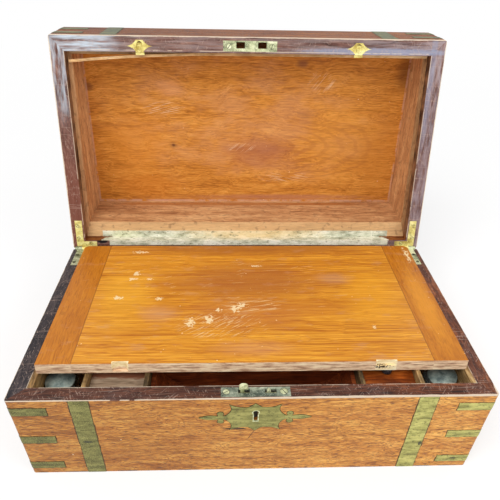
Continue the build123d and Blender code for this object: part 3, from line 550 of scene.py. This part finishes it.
def rim_material(name, grain, tones=ROSEWOOD, on_lid=False, seed=0.0):
    """Dark veneer facing with worn pale edges, dust, specks and fine scratches; on the lid also
    painted glare, painted sheen and a painted notch shadow.
    """
    paint = Paint(name, on_lid)
    colour, height = wood(paint, grain, tones, (26.0, 1.8), 0.5, 0.15, 0.5, 3.0, seed)
    haze = paint.noise(46.0, detail=4.0, seed=seed + 1)
    if on_lid:
        colour = lid_rim_dust_and_glare(paint, grain, colour)
    else:
        browner = paint.rise(paint.x, 20.0, 150.0)
        colour = paint.mix(browner, colour, (1.42, 1.2, 0.85), "MULTIPLY")
        bloom = paint.rise(haze, 0.50, 0.72)
        colour = paint.tint(bloom, 0.14, colour, seen(128, 112, 112))
    for turn, mark in ((0.12, 0.0), (-0.5, 20.0), (0.7, 40.0), (1.5, 60.0)):
        lines = paint.scratches(60.0, 0.7, turn, 0.74, seed + mark)
        colour = paint.tint(lines, 0.4, colour, seen(190, 166, 150))
    for size, spacing in ((0.8, 11.0), (1.4, 27.0)):
        specks = paint.specks(size, spacing, seed + 2 + size)
        colour = paint.tint(specks, 0.85, colour, seen(230, 222, 206))
    patchy = paint.noise(24.0, detail=5.0, roughness=0.65, seed=seed + 8)
    rightward = paint.both(
        paint.rise(paint.x, -120.0, 60.0), paint.fall(paint.y, -124.0, -112.0)
    )
    least, most = (0.8, 0.2) if on_lid else (0.3, 1.3)
    reach = paint.plus(paint.plus(least, rightward, most), paint.minus(patchy, 0.5), 2.4)
    from_side = paint.minus(WIDTH / 2, paint.size(paint.x))
    from_front = paint.minus(DEPTH / 2, paint.size(paint.y))
    outer = paint.math("MINIMUM", from_side, from_front)
    worn = paint.below(outer, reach)
    inner = paint.apart(outer, WALL - 0.3)
    worn_inside = paint.both(paint.below(inner, 0.45), paint.rise(patchy, 0.42, 0.5))
    worn = paint.either(worn, paint.times(worn_inside, 0.6))
    colour = paint.tint(worn, 0.85, colour, seen(226, 208, 184))
    if on_lid:
        # Painted shadow: a near-black spot at the left end of the recess in the lid's back rail,
        # for the shade in its notch.
        painted_notch_shadow = paint.spot((-190.5, 117.0, 94.0), (8.0, 6.0, 6.0), 0.2)
        colour = paint.mix(painted_notch_shadow, colour, seen(22, 18, 22))
    roughness = paint.plus(0.42, haze, 0.25)
    return paint.finish(colour, roughness, height, 0.10)


def lid_rim_dust_and_glare(paint, grain, colour):
    """Dust streaks on the lid rims, with painted bluish reflections of the sky: a painted glare
    thickest at the lid's left front corner, and painted sheen along an inner line at the front,
    along the right side and over the right part.
    """
    streaky = paint.noise(along_grain(grain, 40.0, 3.5), detail=5.0, roughness=0.6, seed=77.0)
    film = paint.rise(streaky, 0.34, 0.66)
    rightward = paint.rise(paint.x, 100.0, 215.0)
    forward = paint.fall(paint.y, -118.0, -20.0)
    red = paint.both(paint.fall(paint.x, -215.0, -195.0), paint.rise(paint.y, -40.0, 60.0))
    brown = paint.both(paint.rise(paint.x, 195.0, 215.0), paint.rise(paint.y, -60.0, 0.0))
    inner_line = paint.spot((150.0, -116.0, 121.0), (90.0, 4.0, 20.0), 0.4)
    beside_line = paint.apart(paint.x, 215.0)
    side_line = paint.both(paint.fall(beside_line, 2.0, 4.5), paint.fall(paint.y, -60.0, 20.0))
    # Painted glare: a bluish-white reflection laid over the streaks at the left front corner and
    # down the left side.
    left_front = paint.cloud((-196.0, -122.0, 121.0), (52.0, 26.0, 30.0))
    left_side = paint.cloud((-222.0, -85.0, 118.0), (14.0, 62.0, 30.0))
    painted_glare = paint.both(paint.either(left_front, paint.times(left_side, 0.65)), film)
    for mask, share, tone in (
        (red, 0.7, (122, 68, 50)),
        (brown, 0.5, (104, 70, 62)),
        (paint.both(film, forward), 0.50, (152, 138, 136)),
        # The next four are painted reflections: lavender sheen over the right part, bluish sheen
        # along the inner and side lines, and the glare.
        (paint.both(film, rightward), 0.45, (176, 164, 172)),
        (inner_line, 0.5, (146, 162, 192)),
        (side_line, 0.35, (140, 150, 176)),
        (painted_glare, 0.9, (198, 212, 224)),
    ):
        colour = paint.tint(mask, share, colour, seen(*tone))
    return colour


def chip_mask(paint):
    """The two chips in the flap's front edge, and the pale torn faces in them."""
    masks = []
    rough = paint.noise(5.0, seed=51.0)
    low = paint.minus(paint.z, paint.times(rough, 5.0))
    for x, width, depth in zip(CHIP_X, CHIP_WIDTHS, CHIP_DEPTHS):
        within = paint.below(paint.apart(paint.x, x), width / 2 + 0.3)
        line = rim_point(x, FLAP_FRONT - depth - 0.4, FLAP_THICKNESS / 2)
        masks.append(paint.both(within, paint.below(paint.y, line.y)))
    torn_left = paint.both(masks[0], paint.math("GREATER_THAN", low, CHIP_LOW_Z))
    return paint.either(*masks), paint.either(torn_left, masks[1])


# Stains, given as for the panel
FLAP_CLOUDS = (
    ((-5, 40), (110, 46), 0.75, (168, 98, 46)),
    ((-10, -20), (80, 34), 0.60, (184, 110, 54)),
    ((0, 112), (190, 18), 0.75, (164, 98, 36)),
    ((60, -10), (60, 20), 0.40, (186, 112, 44)),
    ((194, 0), (14, 90), 0.55, (232, 156, 38)),
    ((140, 10), (40, 60), 0.45, (238, 168, 44)),
    ((-140, 10), (38, 60), 0.40, (240, 178, 56)),
    ((100, 45), (26, 14), 0.40, (190, 146, 116)),
    ((-100, -20), (24, 18), 0.40, (204, 150, 110)),
    ((0, -75), (50, 14), 0.35, (206, 148, 104)),
)
# Small pale marks: the centre and the radii
FLAP_MARKS = (
    ((-149, 8.5), (5.5, 3)), ((-103, 7), (3.5, 2.5)), ((-65.7, -34), (4, 6)),
    ((-46, -30), (4.5, 6.5)), ((-18.2, -12), (4.5, 5)), ((-11, -6), (5, 3.5)),
    ((-134, 56), (4, 4)), ((-137, 45), (5, 2.5)), ((-118, 45), (3.5, 2)),
    ((-136, 104), (8, 2.6)), ((-36, -14), (3, 3)), ((8, 72), (6, 1.6)),
    ((128, -44), (1.6, 3)), ((196, 122), (8, 4)), ((203, 96), (3, 14)),
)
# Patches of scratches: the centre and the radii, the way they run, and how sparse they are
FLAP_SCRATCHES = (
    ((-36, -38), (44, 22), 0.95, 0.63), ((2, -6), (34, 12), 1.35, 0.63),
    ((60, 40), (120, 60), 1.5, 0.78), ((-60, 50), (140, 60), 1.2, 0.78),
)
FLAP_CLOUDS_Z = 116.0
FLAP_MARKS_Z = 118.0


def flap_material(name, grain, tones, streak, soft, seed):
    """Golden top with worn patches, a raw front edge, and torn pale wood at the chips."""
    paint = Paint(name)
    colour, height = wood(paint, grain, tones, streak, 0.35, soft, 0.3, 1.2, seed)
    for centre, radii, strength, stain in FLAP_CLOUDS:
        cloud = paint.cloud((*centre, FLAP_CLOUDS_Z), (*radii, 60.0))
        colour = paint.tint(cloud, strength, colour, seen(*stain))
    bloom = paint.noise((26.0, 12.0, 12.0), detail=5.0, roughness=0.6, seed=seed + 3)
    colour = paint.tint(paint.rise(bloom, 0.56, 0.70), 0.30, colour, seen(196, 146, 108))
    for centre, radii in FLAP_MARKS:
        mark = paint.fleck((*centre, FLAP_MARKS_Z), (*radii, 30.0))
        colour = paint.tint(mark, 0.85, colour, seen(240, 218, 172))
    for centre, radii, turn, sparse in FLAP_SCRATCHES:
        patch = paint.spot((*centre, FLAP_MARKS_Z), (*radii, 40.0), 0.5)
        lines = paint.scratches(30.0, 0.8, turn, sparse, seed + centre[0])
        colour = paint.tint(paint.both(patch, lines), 0.6, colour, seen(236, 204, 150))
    for size, spacing in ((0.8, 6.0), (1.1, 15.0)):
        specks = paint.specks(size, spacing, seed + 2 + size)
        colour = paint.tint(specks, 0.8, colour, seen(248, 226, 180))
    joint = paint.below(paint.apart(paint.size(paint.x), FLAP_JOINT_X), 0.45)
    colour = paint.tint(joint, 0.55, colour, seen(110, 58, 24))
    facing_front = paint.fall(paint.parts(paint.facing)[1], -0.95, -0.6)
    grime = paint.noise((18.0, 5.0, 2.2), detail=5.0, roughness=0.65, seed=seed + 12)
    raw = paint.ramp(
        grime,
        [(0.36, seen(160, 118, 92)), (0.5, seen(226, 190, 154)), (0.64, seen(248, 226, 188))],
    )
    chips, torn_faces = chip_mask(paint)
    bare = paint.either(facing_front, chips)
    colour = paint.mix(bare, colour, raw)
    torn = paint.ramp(
        grime, [(0.34, seen(226, 190, 130)), (0.5, seen(250, 230, 180)), (0.7, seen(255, 244, 214))]
    )
    colour = paint.mix(torn_faces, colour, torn)
    # Painted shade: a dark fleck in the right chip stands for the shade inside a hole in the front
    # edge.
    hole = paint.fleck(tuple(rim_point(124.0, FLAP_FRONT, 4.6)), (7.0, 6.0, 1.6))
    colour = paint.mix(hole, colour, seen(52, 30, 18))
    roughness = paint.mix(bare, (0.40,) * 3, (0.8,) * 3)
    return paint.finish(colour, roughness, height, 0.12)


def plain_wood(name, grain, tones, roughness=0.6, on_lid=False, seed=0.0, grime=0.3):
    """Wood with a share of grime in its hollows."""
    paint = Paint(name, on_lid)
    colour, height = wood(paint, grain, tones, (26.0, 1.8), 0.5, 0.15, 0.4, 3.0, seed)
    dirt = paint.noise(24.0, detail=4.0, seed=seed + 2)
    colour = paint.tint(paint.fall(dirt, 0.38, 0.56), grime, colour, toned(tones[0], 0.4))
    return paint.finish(colour, roughness, height, 0.12)


def lining_material(name, grain, seed, edge):
    """The lid's lining: pinkish raw wood, its thin edge in its own colour, stained by the panel."""
    paint = Paint(name, True)
    colour, height = wood(paint, grain, LINING, (22.0, 1.7), 0.45, 0.16, 0.45, 3.0, seed)
    stain = paint.both(
        paint.rise(paint.z, 161.0, 163.0), paint.fall(paint.z, 169.5, 171.5),
        paint.fall(paint.size(paint.plus(paint.x, 8.0)), 150.0, 182.0),
        paint.rise(paint.y, 0.0, 60.0),
    )
    colour = paint.tint(stain, 0.75, colour, seen(166, 100, 42))
    under = paint.fall(paint.parts(paint.facing)[2], -0.9, -0.6)
    colour = paint.tint(under, 0.5, colour, edge)
    gap = paint.noise(9.0, detail=4.0, seed=seed + 3)
    colour = paint.tint(paint.fall(gap, 0.32, 0.44), 0.4, colour, seen(112, 74, 50))
    return paint.finish(colour, 0.6, height, 0.14)


def small_lid_material():
    """The left compartment's lid: grey with dust in front, with a painted reddish-brown shadow over
    its rear part.
    """
    paint = Paint("dusty_lid")
    colour, height = wood(paint, "x", DUSTY_LID, (26.0, 1.8), seed=45.0)
    ragged = paint.noise((18.0, 8.0, 8.0), seed=4.0)
    line = paint.plus(paint.y, ragged, 16.0)
    # Painted shadow: the rear part is tinted reddish brown, with a ragged edge.
    painted_shadow_behind = paint.rise(line, -88.0, -84.0)
    colour = paint.tint(painted_shadow_behind, 0.8, colour, seen(120, 58, 30))
    return paint.finish(colour, 0.55, height, 0.10)


# Nicks and holes in the brass of the front: the centre and the radii
STRAP_NICKS = (
    ((-163.5, -130.0, 55.5), (4.6, 4.0, 1.5)),
    ((169.5, -130.0, 43.9), (1.8, 4.0, 3.4)),
    ((211.0, -130.0, 15.5), (3.4, 4.0, 1.2)),
)


def brass_material(name, tones, roughness=0.45, on_lid=False, seed=0.0, tarnish=0.5, left=1.0):
    """Brass with a cloudy patina, darker blotches and scratches, and painted shade that dims it
    towards the left.
    """
    paint = Paint(name, on_lid)
    clouds = paint.noise((22.0, 11.0, 6.0), detail=5.0, roughness=0.66, seed=seed)
    colour = paint.ramp(clouds, [(0.36, tones[0]), (0.5, tones[1]), (0.64, tones[2])])
    # Painted shade: a left share below 1 multiplies the colour down towards the left side.
    if left < 1.0:
        shaded_leftward = paint.fall(paint.x, -235.0, 150.0)
        colour = paint.mix(shaded_leftward, colour, (left, left, left), "MULTIPLY")
    blotch = paint.noise((5.0, 5.0, 3.5), detail=4.0, seed=seed + 5)
    colour = paint.tint(paint.fall(blotch, 0.36, 0.46), tarnish, colour, toned(tones[0], 0.30))
    for turn in (0.8, -0.4):
        lines = paint.scratches(26.0, 0.5, turn, 0.68, seed + turn)
        colour = paint.tint(lines, 0.4, colour, toned(tones[2], 1.2))
    for centre, radii in STRAP_NICKS:
        nick = paint.spot(centre, radii, 0.3)
        colour = paint.tint(nick, 0.85, colour, seen(52, 54, 44))
    paint.surface.inputs["Metallic"].default_value = METALLIC
    rough = paint.plus(roughness - 0.1, clouds, 0.25)
    return paint.finish(colour, rough, blotch, 0.08)


def pewter_material():
    paint = Paint("pewter")
    clouds = paint.noise(11.0, detail=5.0, roughness=0.6, seed=12.0)
    colour = paint.ramp(
        clouds,
        [(0.36, seen(98, 112, 110)), (0.5, seen(146, 160, 152)), (0.66, seen(186, 194, 182))],
    )
    bloom = paint.noise(2.5, detail=4.0, seed=2.0)
    colour = paint.tint(paint.rise(bloom, 0.55, 0.7), 0.4, colour, seen(176, 182, 170))
    paint.surface.inputs["Metallic"].default_value = METALLIC
    return paint.finish(colour, 0.5, bloom, 0.06)


def glass_material():
    paint = Paint("glass")
    colour = paint.ramp(
        paint.noise((25.0, 25.0, 12.0), detail=2.0, seed=5.0),
        [(0.3, (0.66, 0.76, 0.72)), (0.7, (0.86, 0.92, 0.90))],
    )
    paint.surface.inputs["Transmission Weight"].default_value = 0.85
    paint.surface.inputs["IOR"].default_value = 1.5
    film = paint.noise(6.0, detail=4.0, seed=8.0)
    rough = paint.plus(0.08, film, 0.35)
    return paint.finish(colour, rough, film, 0.03)


def ebony_material():
    paint = Paint("ebonised")
    colour, height = wood(paint, "z", EBONY, seed=3.0)
    return paint.finish(colour, 0.16, height, 0.02)


def residue_material():
    """Old glue and cloth left where the flap's hinge was: pale, cracked, peach in places."""
    paint = Paint("residue", True)
    clouds = paint.noise((20.0, 8.0, 8.0), detail=5.0, roughness=0.68, seed=4.0)
    colour = paint.ramp(
        clouds,
        [(0.34, seen(150, 152, 128)), (0.48, seen(206, 206, 180)), (0.60, seen(236, 234, 214))],
    )
    peach = paint.cloud((10.0, 114.0, 106.0), (110.0, 12.0, 12.0))
    colour = paint.tint(peach, 0.65, colour, seen(240, 206, 146))
    yellow = paint.cloud((-165.0, 114.0, 106.0), (30.0, 12.0, 12.0))
    colour = paint.tint(yellow, 0.3, colour, seen(236, 236, 180))
    cracks = paint.noise((6.0, 2.5, 2.5), detail=5.0, roughness=0.7, seed=9.0)
    dark = paint.fall(cracks, 0.36, 0.44)
    colour = paint.tint(dark, 0.7, colour, seen(104, 96, 66))
    return paint.finish(colour, 0.85, cracks, 0.35)


# Near-black for painted shade in narrow gaps: under a screw's slot and round its head, and in the
# joint round the escutcheon.
def plain_dark_material():
    paint = Paint("painted_gap_shade")
    colour = paint.ramp(
        paint.noise(3.0),
        [(0.3, (0.008, 0.008, 0.008)), (0.7, (0.03, 0.022, 0.018))],
    )
    return paint.finish(colour, 0.9)


def give(material, *names):
    """Put a material on CAD nodes."""
    for name in names:
        for slot in frame["nodes"][name].material_slots:
            slot.material = material


# The left base rim takes the copy of the rosewood with painted bluish sheen.
RIM_TONES = {"front": ROSEWOOD, "back": ROSEWOOD, "left": ROSEWOOD_WITH_PAINTED_SHEEN, "right": ROSEWOOD}
SIDES = ("front", "back", "left", "right")
for seed, side in enumerate(SIDES):
    grain = "x" if side in ("front", "back") else "y"
    give(carcass_material(f"base_mahogany_{side}", grain, seed=seed * 13.0), f"base_wall_{side}")
    give(carcass_material(f"lid_mahogany_{side}", grain, LID_MAHOGANY, True, 60 + seed * 13.0),
         f"lid_wall_{side}")
    give(rim_material(f"base_rosewood_{side}", grain, RIM_TONES[side], seed=seed * 5.0),
         f"base_rim_{side}")
    give(rim_material(f"lid_rosewood_{side}", grain, LID_ROSEWOOD, True, seed=70 + seed * 5.0),
         f"lid_rim_{side}")
    give(lining_material(f"lid_lining_{side}", grain, 90 + seed * 7.0, LINING_EDGES[side]),
         f"lid_lining_{side}")
for side, grain in (("left", "y"), ("right", "y"), ("back", "x")):
    give(plain_wood(f"base_lining_{side}", grain, PALE, seed=12.0, grime=0.35),
         f"base_lining_{side}")
give(lid_top_material(), "lid_top")
give(plain_wood("deal", "x", DEAL, 0.8, seed=5.0), "base_bottom")
give(plain_wood("tray_boards", "x", LINING, seed=15.0, grime=0.5), "tray_floor", "tray_back_wall")
give(plain_wood("partitions", "y", PALE, seed=25.0, grime=0.7), "partition_outer_left",
     "partition_outer_right")
# The inner partitions take the darker copy of the pale wood: painted shade between the
# compartments.
give(plain_wood("shaded_partitions", "y", PALE_IN_PAINTED_SHADE, seed=28.0, grime=0.7), "partition_inner_left",
     "partition_inner_right")
give(plain_wood("pen_tray_wood", "x", TRAY, 0.5, seed=35.0), "pen_tray")
give(small_lid_material(), "small_lid_left")
give(plain_wood("red_lid", "x", RED, 0.35, seed=55.0, grime=0.5), "small_lid_right")
give(ebony_material(), "small_lid_knob")
give(glass_material(), "inkwell_left", "inkwell_right")
give(pewter_material(), "inkwell_cap_left", "inkwell_cap_right")
give(flap_material("flap_gold", "x", GOLDEN, (85.0, 1.3), 0.15, 5.0), "flap_panel")
give(flap_material("flap_end", "y", CLAMP, (50.0, 2.0), 0.34, 15.0), "flap_clamp_left",
     "flap_clamp_right")
give(plain_wood("pale_strip", "x", STRIP, 0.6, True, seed=65.0), "lid_loose_strip")
# left=0.38 paints shade over the front straps towards the left.
give(brass_material("strap_brass", STRAP_PATINA, seed=3.0, left=0.38), "base_straps",
     "base_corners")
give(brass_material("lid_strap_brass", PATINA, on_lid=True, seed=6.0), "lid_straps", "lid_corners")
give(brass_material("plate_brass", PLATE_PATINA, seed=9.0), "escutcheon")
give(brass_material("liner_brass", LIMED, seed=2.0), "keyhole_liner")
give(brass_material("lock_brass", GREY_GREEN, seed=12.0), "lock_plate")
give(brass_material("bolt_brass", HOOK_BRASS, seed=15.0), "lock_bolt")
give(brass_material("lock_iron", STEEL, 0.55, seed=18.0), "lock_case")
give(brass_material("strike_brass", LIMED, on_lid=True, seed=21.0, tarnish=0.4),
     "lid_strike_plate")
give(brass_material("catch_brass", BRIGHT, on_lid=True, seed=24.0, tarnish=0.25), "catch_plates",
     "catch_tongue_left", "catch_tongue_right")
give(brass_material("hinge_brass", BRIGHT, on_lid=True, seed=27.0, tarnish=0.35),
     "hinge_lid_left", "hinge_lid_right")
# left=0.7 paints shade over the back hinges towards the left.
give(brass_material("green_hinge", LIMED, seed=30.0, left=0.7), "hinge_base_left",
     "hinge_base_right")


# Small pieces

def placed(name, data):
    """A new object in the scene."""
    thing = bpy.data.objects.new(name, data)
    bpy.context.scene.collection.objects.link(thing)
    return thing


def mesh_piece(name, vertices, faces, body, material, turn=None):
    """A mesh from points in millimetres, turned by a matrix, riding on a CAD body."""
    points = [MM * ((turn @ Vector(v)) if turn else Vector(v)) for v in vertices]
    mesh = bpy.data.meshes.new(name)
    mesh.from_pydata(points, [], faces)
    shape = bmesh.new()
    shape.from_mesh(mesh)
    bmesh.ops.recalc_face_normals(shape, faces=shape.faces)
    shape.to_mesh(mesh)
    shape.free()
    piece = placed(name, mesh)
    mesh.materials.append(material)
    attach(piece, body)
    return piece


SLOT_HALF = 0.32
HALF_HEAD_STEPS = 14
# The rings of a head, from the surface up: how far each is set in, and its height
HEAD_RINGS = ((0.0, 0.02), (0.0, 0.08), (0.35, 0.13))
DISC_MARGIN = 0.35
DISC_HEIGHT = 0.03
DISC_STEPS = 20


def half_head(radius, side):
    """One half of a slotted screw head's outline, on one side of its slot."""
    start = SLOT_HALF / radius
    share = (pi - 2 * start) / HALF_HEAD_STEPS
    turns = [start + share * step for step in range(HALF_HEAD_STEPS + 1)]
    return [(radius * cos(turn), side * radius * sin(turn)) for turn in turns]


def screw(name, body, place, material, radius, slot_turn):
    """A countersunk screw head: two halves either side of a slot, over a wider near-black disc of
    painted shade that shows in the slot and round the head.
    """
    vertices = []
    faces = []
    for side in (1, -1):
        outline = half_head(radius, side)
        count = len(outline)
        for level, (inset, height) in enumerate(HEAD_RINGS):
            start = len(vertices)
            scale = 1.0 - inset / radius
            vertices += [(x * scale, y * scale, height) for x, y in outline]
            if level > 0:
                below = start - count
                for step in range(count):
                    after = (step + 1) % count
                    faces.append((below + step, below + after, start + after, start + step))
        faces.append(tuple(range(start, start + count)))
    start = len(vertices)
    rim = radius + DISC_MARGIN
    for step in range(DISC_STEPS):
        turn = 2 * pi * step / DISC_STEPS
        vertices.append((rim * cos(turn), rim * sin(turn), DISC_HEIGHT))
    faces.append(tuple(range(start, start + DISC_STEPS)))
    turn = place @ Matrix.Rotation(slot_turn, 4, "Z")
    piece = mesh_piece(name, vertices, faces, body, material, turn)
    piece.data.materials.append(painted_gap_shade)
    piece.data.polygons[-1].material_index = 1


painted_gap_shade = plain_dark_material()
grey_screw = brass_material("screw_grey", LIMED, seed=33.0)
bright_screw = brass_material("screw_bright", BRIGHT, seed=36.0)
green_screw = brass_material("screw_green", PATINA, seed=39.0)

# Where each screw is across the box, its radius, and how far its slot is turned
LOCK_SCREWS = ((-27.6, 3.1, 0.6), (26.4, 3.6, 2.2))
STRIKE_SCREWS = ((-24.2, 2.8, 0.9), (25.1, 2.8, 1.3))
LOCK_SCREWS_FROM_HINGE = 253.9
STRIKE_SCREWS_FROM_HINGE = 252.0
# Where each screw of a hinge leaf is: across the box, and from the hinge
HINGE_SCREWS = ((220.5, 15.0), (220.5, 32.0), (206.0, 7.0))
HINGE_SCREW_RADIUS = 1.8

for number, (x, radius, slot_turn) in enumerate(LOCK_SCREWS):
    place = rim_frame(x, LOCK_SCREWS_FROM_HINGE, -RIM)
    screw(f"lock_screw_{number}", "base", place, grey_screw, radius, slot_turn)
for number, (x, radius, slot_turn) in enumerate(STRIKE_SCREWS):
    place = open_lid @ rim_frame(x, STRIKE_SCREWS_FROM_HINGE, RIM, False)
    screw(f"strike_screw_{number}", "lid", place, grey_screw, radius, slot_turn)
for side in (-1, 1):
    for number, (x, from_hinge) in enumerate(HINGE_SCREWS):
        side_name = "left" if side < 0 else "right"
        slot_turn = number * 1.1 + side * 0.4
        base_place = rim_frame(side * x, from_hinge, -RIM)
        lid_place = open_lid @ rim_frame(side * x, from_hinge, RIM, False)
        for body, place, material in (
            ("base", base_place, green_screw), ("lid", lid_place, bright_screw),
        ):
            name = f"hinge_{body}_screw_{side_name}_{number}"
            screw(name, body, place, material, HINGE_SCREW_RADIUS, slot_turn)


OUTLINE_WIDTH = 0.55
OUTLINE_LIFT = 0.04
KEYHOLE_REACH = 9.0


def plate_outline(name, node):
    """A near-black line on the front wall round a CAD plate, traced from the plate's front face:
    the dark joint, drawn with painted shade.

    Edges within KEYHOLE_REACH of the plate's middle are the keyhole's, and get no line.
    """
    shape = bmesh.new()
    shape.from_mesh(frame["nodes"][node].data)
    shape.transform(frame["nodes"][node].matrix_world)
    bmesh.ops.remove_doubles(shape, verts=shape.verts, dist=MM * 0.001)
    shape.normal_update()
    front = {face for face in shape.faces if face.normal.y < -0.95}
    outward = {}
    sides = []
    for face in front:
        for loop in face.loops:
            if sum(other in front for other in loop.edge.link_faces) != 1:
                continue
            here, there = loop.vert, loop.link_loop_next.vert
            centre = Vector((0, here.co.y, PLATE_Z * MM))
            if (here.co - centre).length < KEYHOLE_REACH * MM:
                continue
            away = (there.co - here.co).cross(face.normal).normalized()
            sides.append((here, there))
            for vert in (here, there):
                outward[vert] = outward.get(vert, Vector()) + away
    vertices = []
    faces = []
    order = {}
    line_y = -DEPTH / 2 - OUTLINE_LIFT
    for vert, away in outward.items():
        order[vert] = len(vertices)
        inner = vert.co / MM
        outer = inner + away.normalized() * OUTLINE_WIDTH
        vertices += [(inner.x, line_y, inner.z), (outer.x, line_y, outer.z)]
    for here, there in sides:
        a, b = order[here], order[there]
        faces.append((a, b, b + 1, a + 1))
    shape.free()
    mesh_piece(name, vertices, faces, "base", painted_gap_shade)


plate_outline("escutcheon_outline", "escutcheon")


CRUST_COLUMNS = 150
CRUST_THINNED_SHARE = 0.1


def crust(name, profile, left, right, thickness, seed):
    """A rough crust laid along X over a profile of points on the lid, thinner at its ends.

    Each point is given as its distance from the hinge, its height above the rim slope, and how
    far the roughness moves it away from the hinge and down.
    """
    chance = random.Random(seed)
    vertices = []
    faces = []
    count = len(profile)
    row = 2 * count
    for column in range(CRUST_COLUMNS + 1):
        x = left + (right - left) * column / CRUST_COLUMNS
        from_end = min(column, CRUST_COLUMNS - column) / CRUST_COLUMNS
        fade = min(1.0, from_end / CRUST_THINNED_SHARE)
        for layer in (0, 1):
            for from_hinge, above, out_back, out_down in profile:
                rough = thickness * (0.3 + 0.7 * chance.random()) * fade if layer else 0.0
                point = rim_point(x, from_hinge + rough * out_back, above - rough * out_down)
                vertices.append(tuple(point))
    for column in range(CRUST_COLUMNS):
        here = column * row
        for layer in (0, count):
            for step in range(count - 1):
                a = here + layer + step
                faces.append((a, a + 1, a + 1 + row, a + row))
        for step in (0, count - 1):
            a = here + step
            faces.append((a, a + count, a + count + row, a + row))
    for here in (0, CRUST_COLUMNS * row):
        for step in range(count - 1):
            a = here + step
            faces.append((a, a + 1, a + 1 + count, a + count))
    mesh_piece(name, vertices, faces, "lid", residue, open_lid)


residue = residue_material()
LEDGE_PROFILE = (
    (11.25, 1.4, 1.0, 0.0), (11.6, 4.6, 1.0, 0.0), (11.98, 8.0, 1.0, 0.0),
    (12.35, 11.6, 1.0, 0.0), (12.6, 13.1, 0.0, 1.0), (16.0, 13.15, 0.0, 1.0),
    (20.5, 13.15, 0.0, 1.0),
)
RIM_PROFILE = (
    (5.0, 0.15, 0.0, 1.0), (6.5, 0.15, 0.0, 1.0), (8.0, 0.15, 0.0, 1.0),
    (9.5, 0.15, 0.0, 1.0), (11.1, 0.15, 0.6, 1.0), (11.2, 1.2, 1.0, 0.0),
)
crust("glue_on_ledge", LEDGE_PROFILE, -192.0, 190.0, 0.3, 7)
crust("glue_on_rim", RIM_PROFILE, -181.0, 188.0, 0.22, 11)


# Stage: camera, floor and soft studio light. Its places and sizes are in metres, its turns in
# degrees, and the lens and its sensor in millimetres.

LENS = 38.6
SENSOR_WIDTH = 36.0
CAMERA_PLACE = (-0.025646, -0.431072, 0.533930)
CAMERA_HEADING = -2.98
CAMERA_DIP = 38.33
CAMERA_ROLL = 1.79
WORLD_STRENGTH = 0.70
FLOOR_HALF = 3.0
# The floor's share of plain white, from the first distance off the middle to the second
FLOOR_FADE = {"From Min": 0.3, "From Max": 1.4, "To Min": 0.55, "To Max": 1.0}
# Each light's name, place, aim, size and power
LIGHTS = (
    ("key", (-0.9, -0.9, 1.9), (0.0, 0.1, 0.1), 1.4, 25.0),
    ("fill", (1.3, -0.7, 1.3), (0.0, 0.1, 0.15), 1.2, 10.0),
)


def place_camera():
    data = bpy.data.cameras.new("camera")
    data.lens = LENS
    data.sensor_width = SENSOR_WIDTH
    camera = placed("camera", data)
    turn = (
        Matrix.Rotation(radians(CAMERA_HEADING), 4, "Z")
        @ Matrix.Rotation(radians(90.0 - CAMERA_DIP), 4, "X")
        @ Matrix.Rotation(radians(CAMERA_ROLL), 4, "Z")
    )
    camera.matrix_world = Matrix.Translation(CAMERA_PLACE) @ turn
    bpy.context.scene.camera = camera


def seen_white(tree, surface, white):
    """White where the camera, a reflection or a transparent view looks straight at it."""
    rays = add_node(tree, "ShaderNodeLightPath").outputs
    looking = rays["Is Camera Ray"]
    for kind in ("Is Glossy Ray", "Is Transmission Ray"):
        either = {0: looking, 1: rays[kind]}
        looking = add_node(tree, "ShaderNodeMath", either, operation="MAXIMUM").outputs[0]
    return add_node(tree, "ShaderNodeMixShader", {0: looking, 1: surface, 2: white}).outputs[0]


def make_world():
    world = bpy.data.worlds.new("studio")
    bpy.context.scene.world = world
    world.use_nodes = True
    tree = world.node_tree
    light = tree.nodes["Background"]
    feed(tree, light, {"Color": (1.0, 1.0, 1.0, 1.0), "Strength": WORLD_STRENGTH})
    plain = {"Color": (1.0, 1.0, 1.0, 1.0), "Strength": 1.0}
    white = add_node(tree, "ShaderNodeBackground", plain)
    seen_world = seen_white(tree, light.outputs[0], white.outputs[0])
    feed(tree, tree.nodes["World Output"], {"Surface": seen_world})


def make_floor():
    mesh = bpy.data.meshes.new("floor")
    signs = ((-1, -1), (1, -1), (1, 1), (-1, 1))
    corners = [(FLOOR_HALF * x, FLOOR_HALF * y, 0) for x, y in signs]
    mesh.from_pydata(corners, [], [(0, 1, 2, 3)])
    floor = placed("floor", mesh)
    material = bpy.data.materials.new("floor")
    material.use_nodes = True
    tree = material.node_tree
    surface = tree.nodes["Principled BSDF"]
    feed(tree, surface, {"Base Color": (0.96, 0.96, 0.96, 1.0), "Roughness": 0.9})
    shaded = surface.outputs[0]
    white = add_node(tree, "ShaderNodeEmission").outputs[0]
    place = add_node(tree, "ShaderNodeTexCoord").outputs["Object"]
    away = add_node(tree, "ShaderNodeVectorMath", {0: place}, operation="LENGTH").outputs["Value"]
    fade = add_node(
        tree, "ShaderNodeMapRange", {"Value": away, **FLOOR_FADE}, interpolation_type="SMOOTHSTEP"
    ).outputs["Result"]
    faded = add_node(tree, "ShaderNodeMixShader", {0: fade, 1: shaded, 2: white}).outputs[0]
    seen_floor = seen_white(tree, shaded, faded)
    feed(tree, tree.nodes["Material Output"], {"Surface": seen_floor})
    mesh.materials.append(material)


def area_light(name, place, aim, size, power):
    data = bpy.data.lights.new(name, "AREA")
    data.shape = "DISK"
    data.size = size
    data.energy = power
    light = placed(name, data)
    direction = Vector(aim) - Vector(place)
    turn = direction.to_track_quat("-Z", "Y").to_matrix().to_4x4()
    light.matrix_world = Matrix.Translation(place) @ turn


place_camera()
make_world()
make_floor()
for light in LIGHTS:
    area_light(*light)
bpy.context.scene.view_settings.view_transform = "Standard"
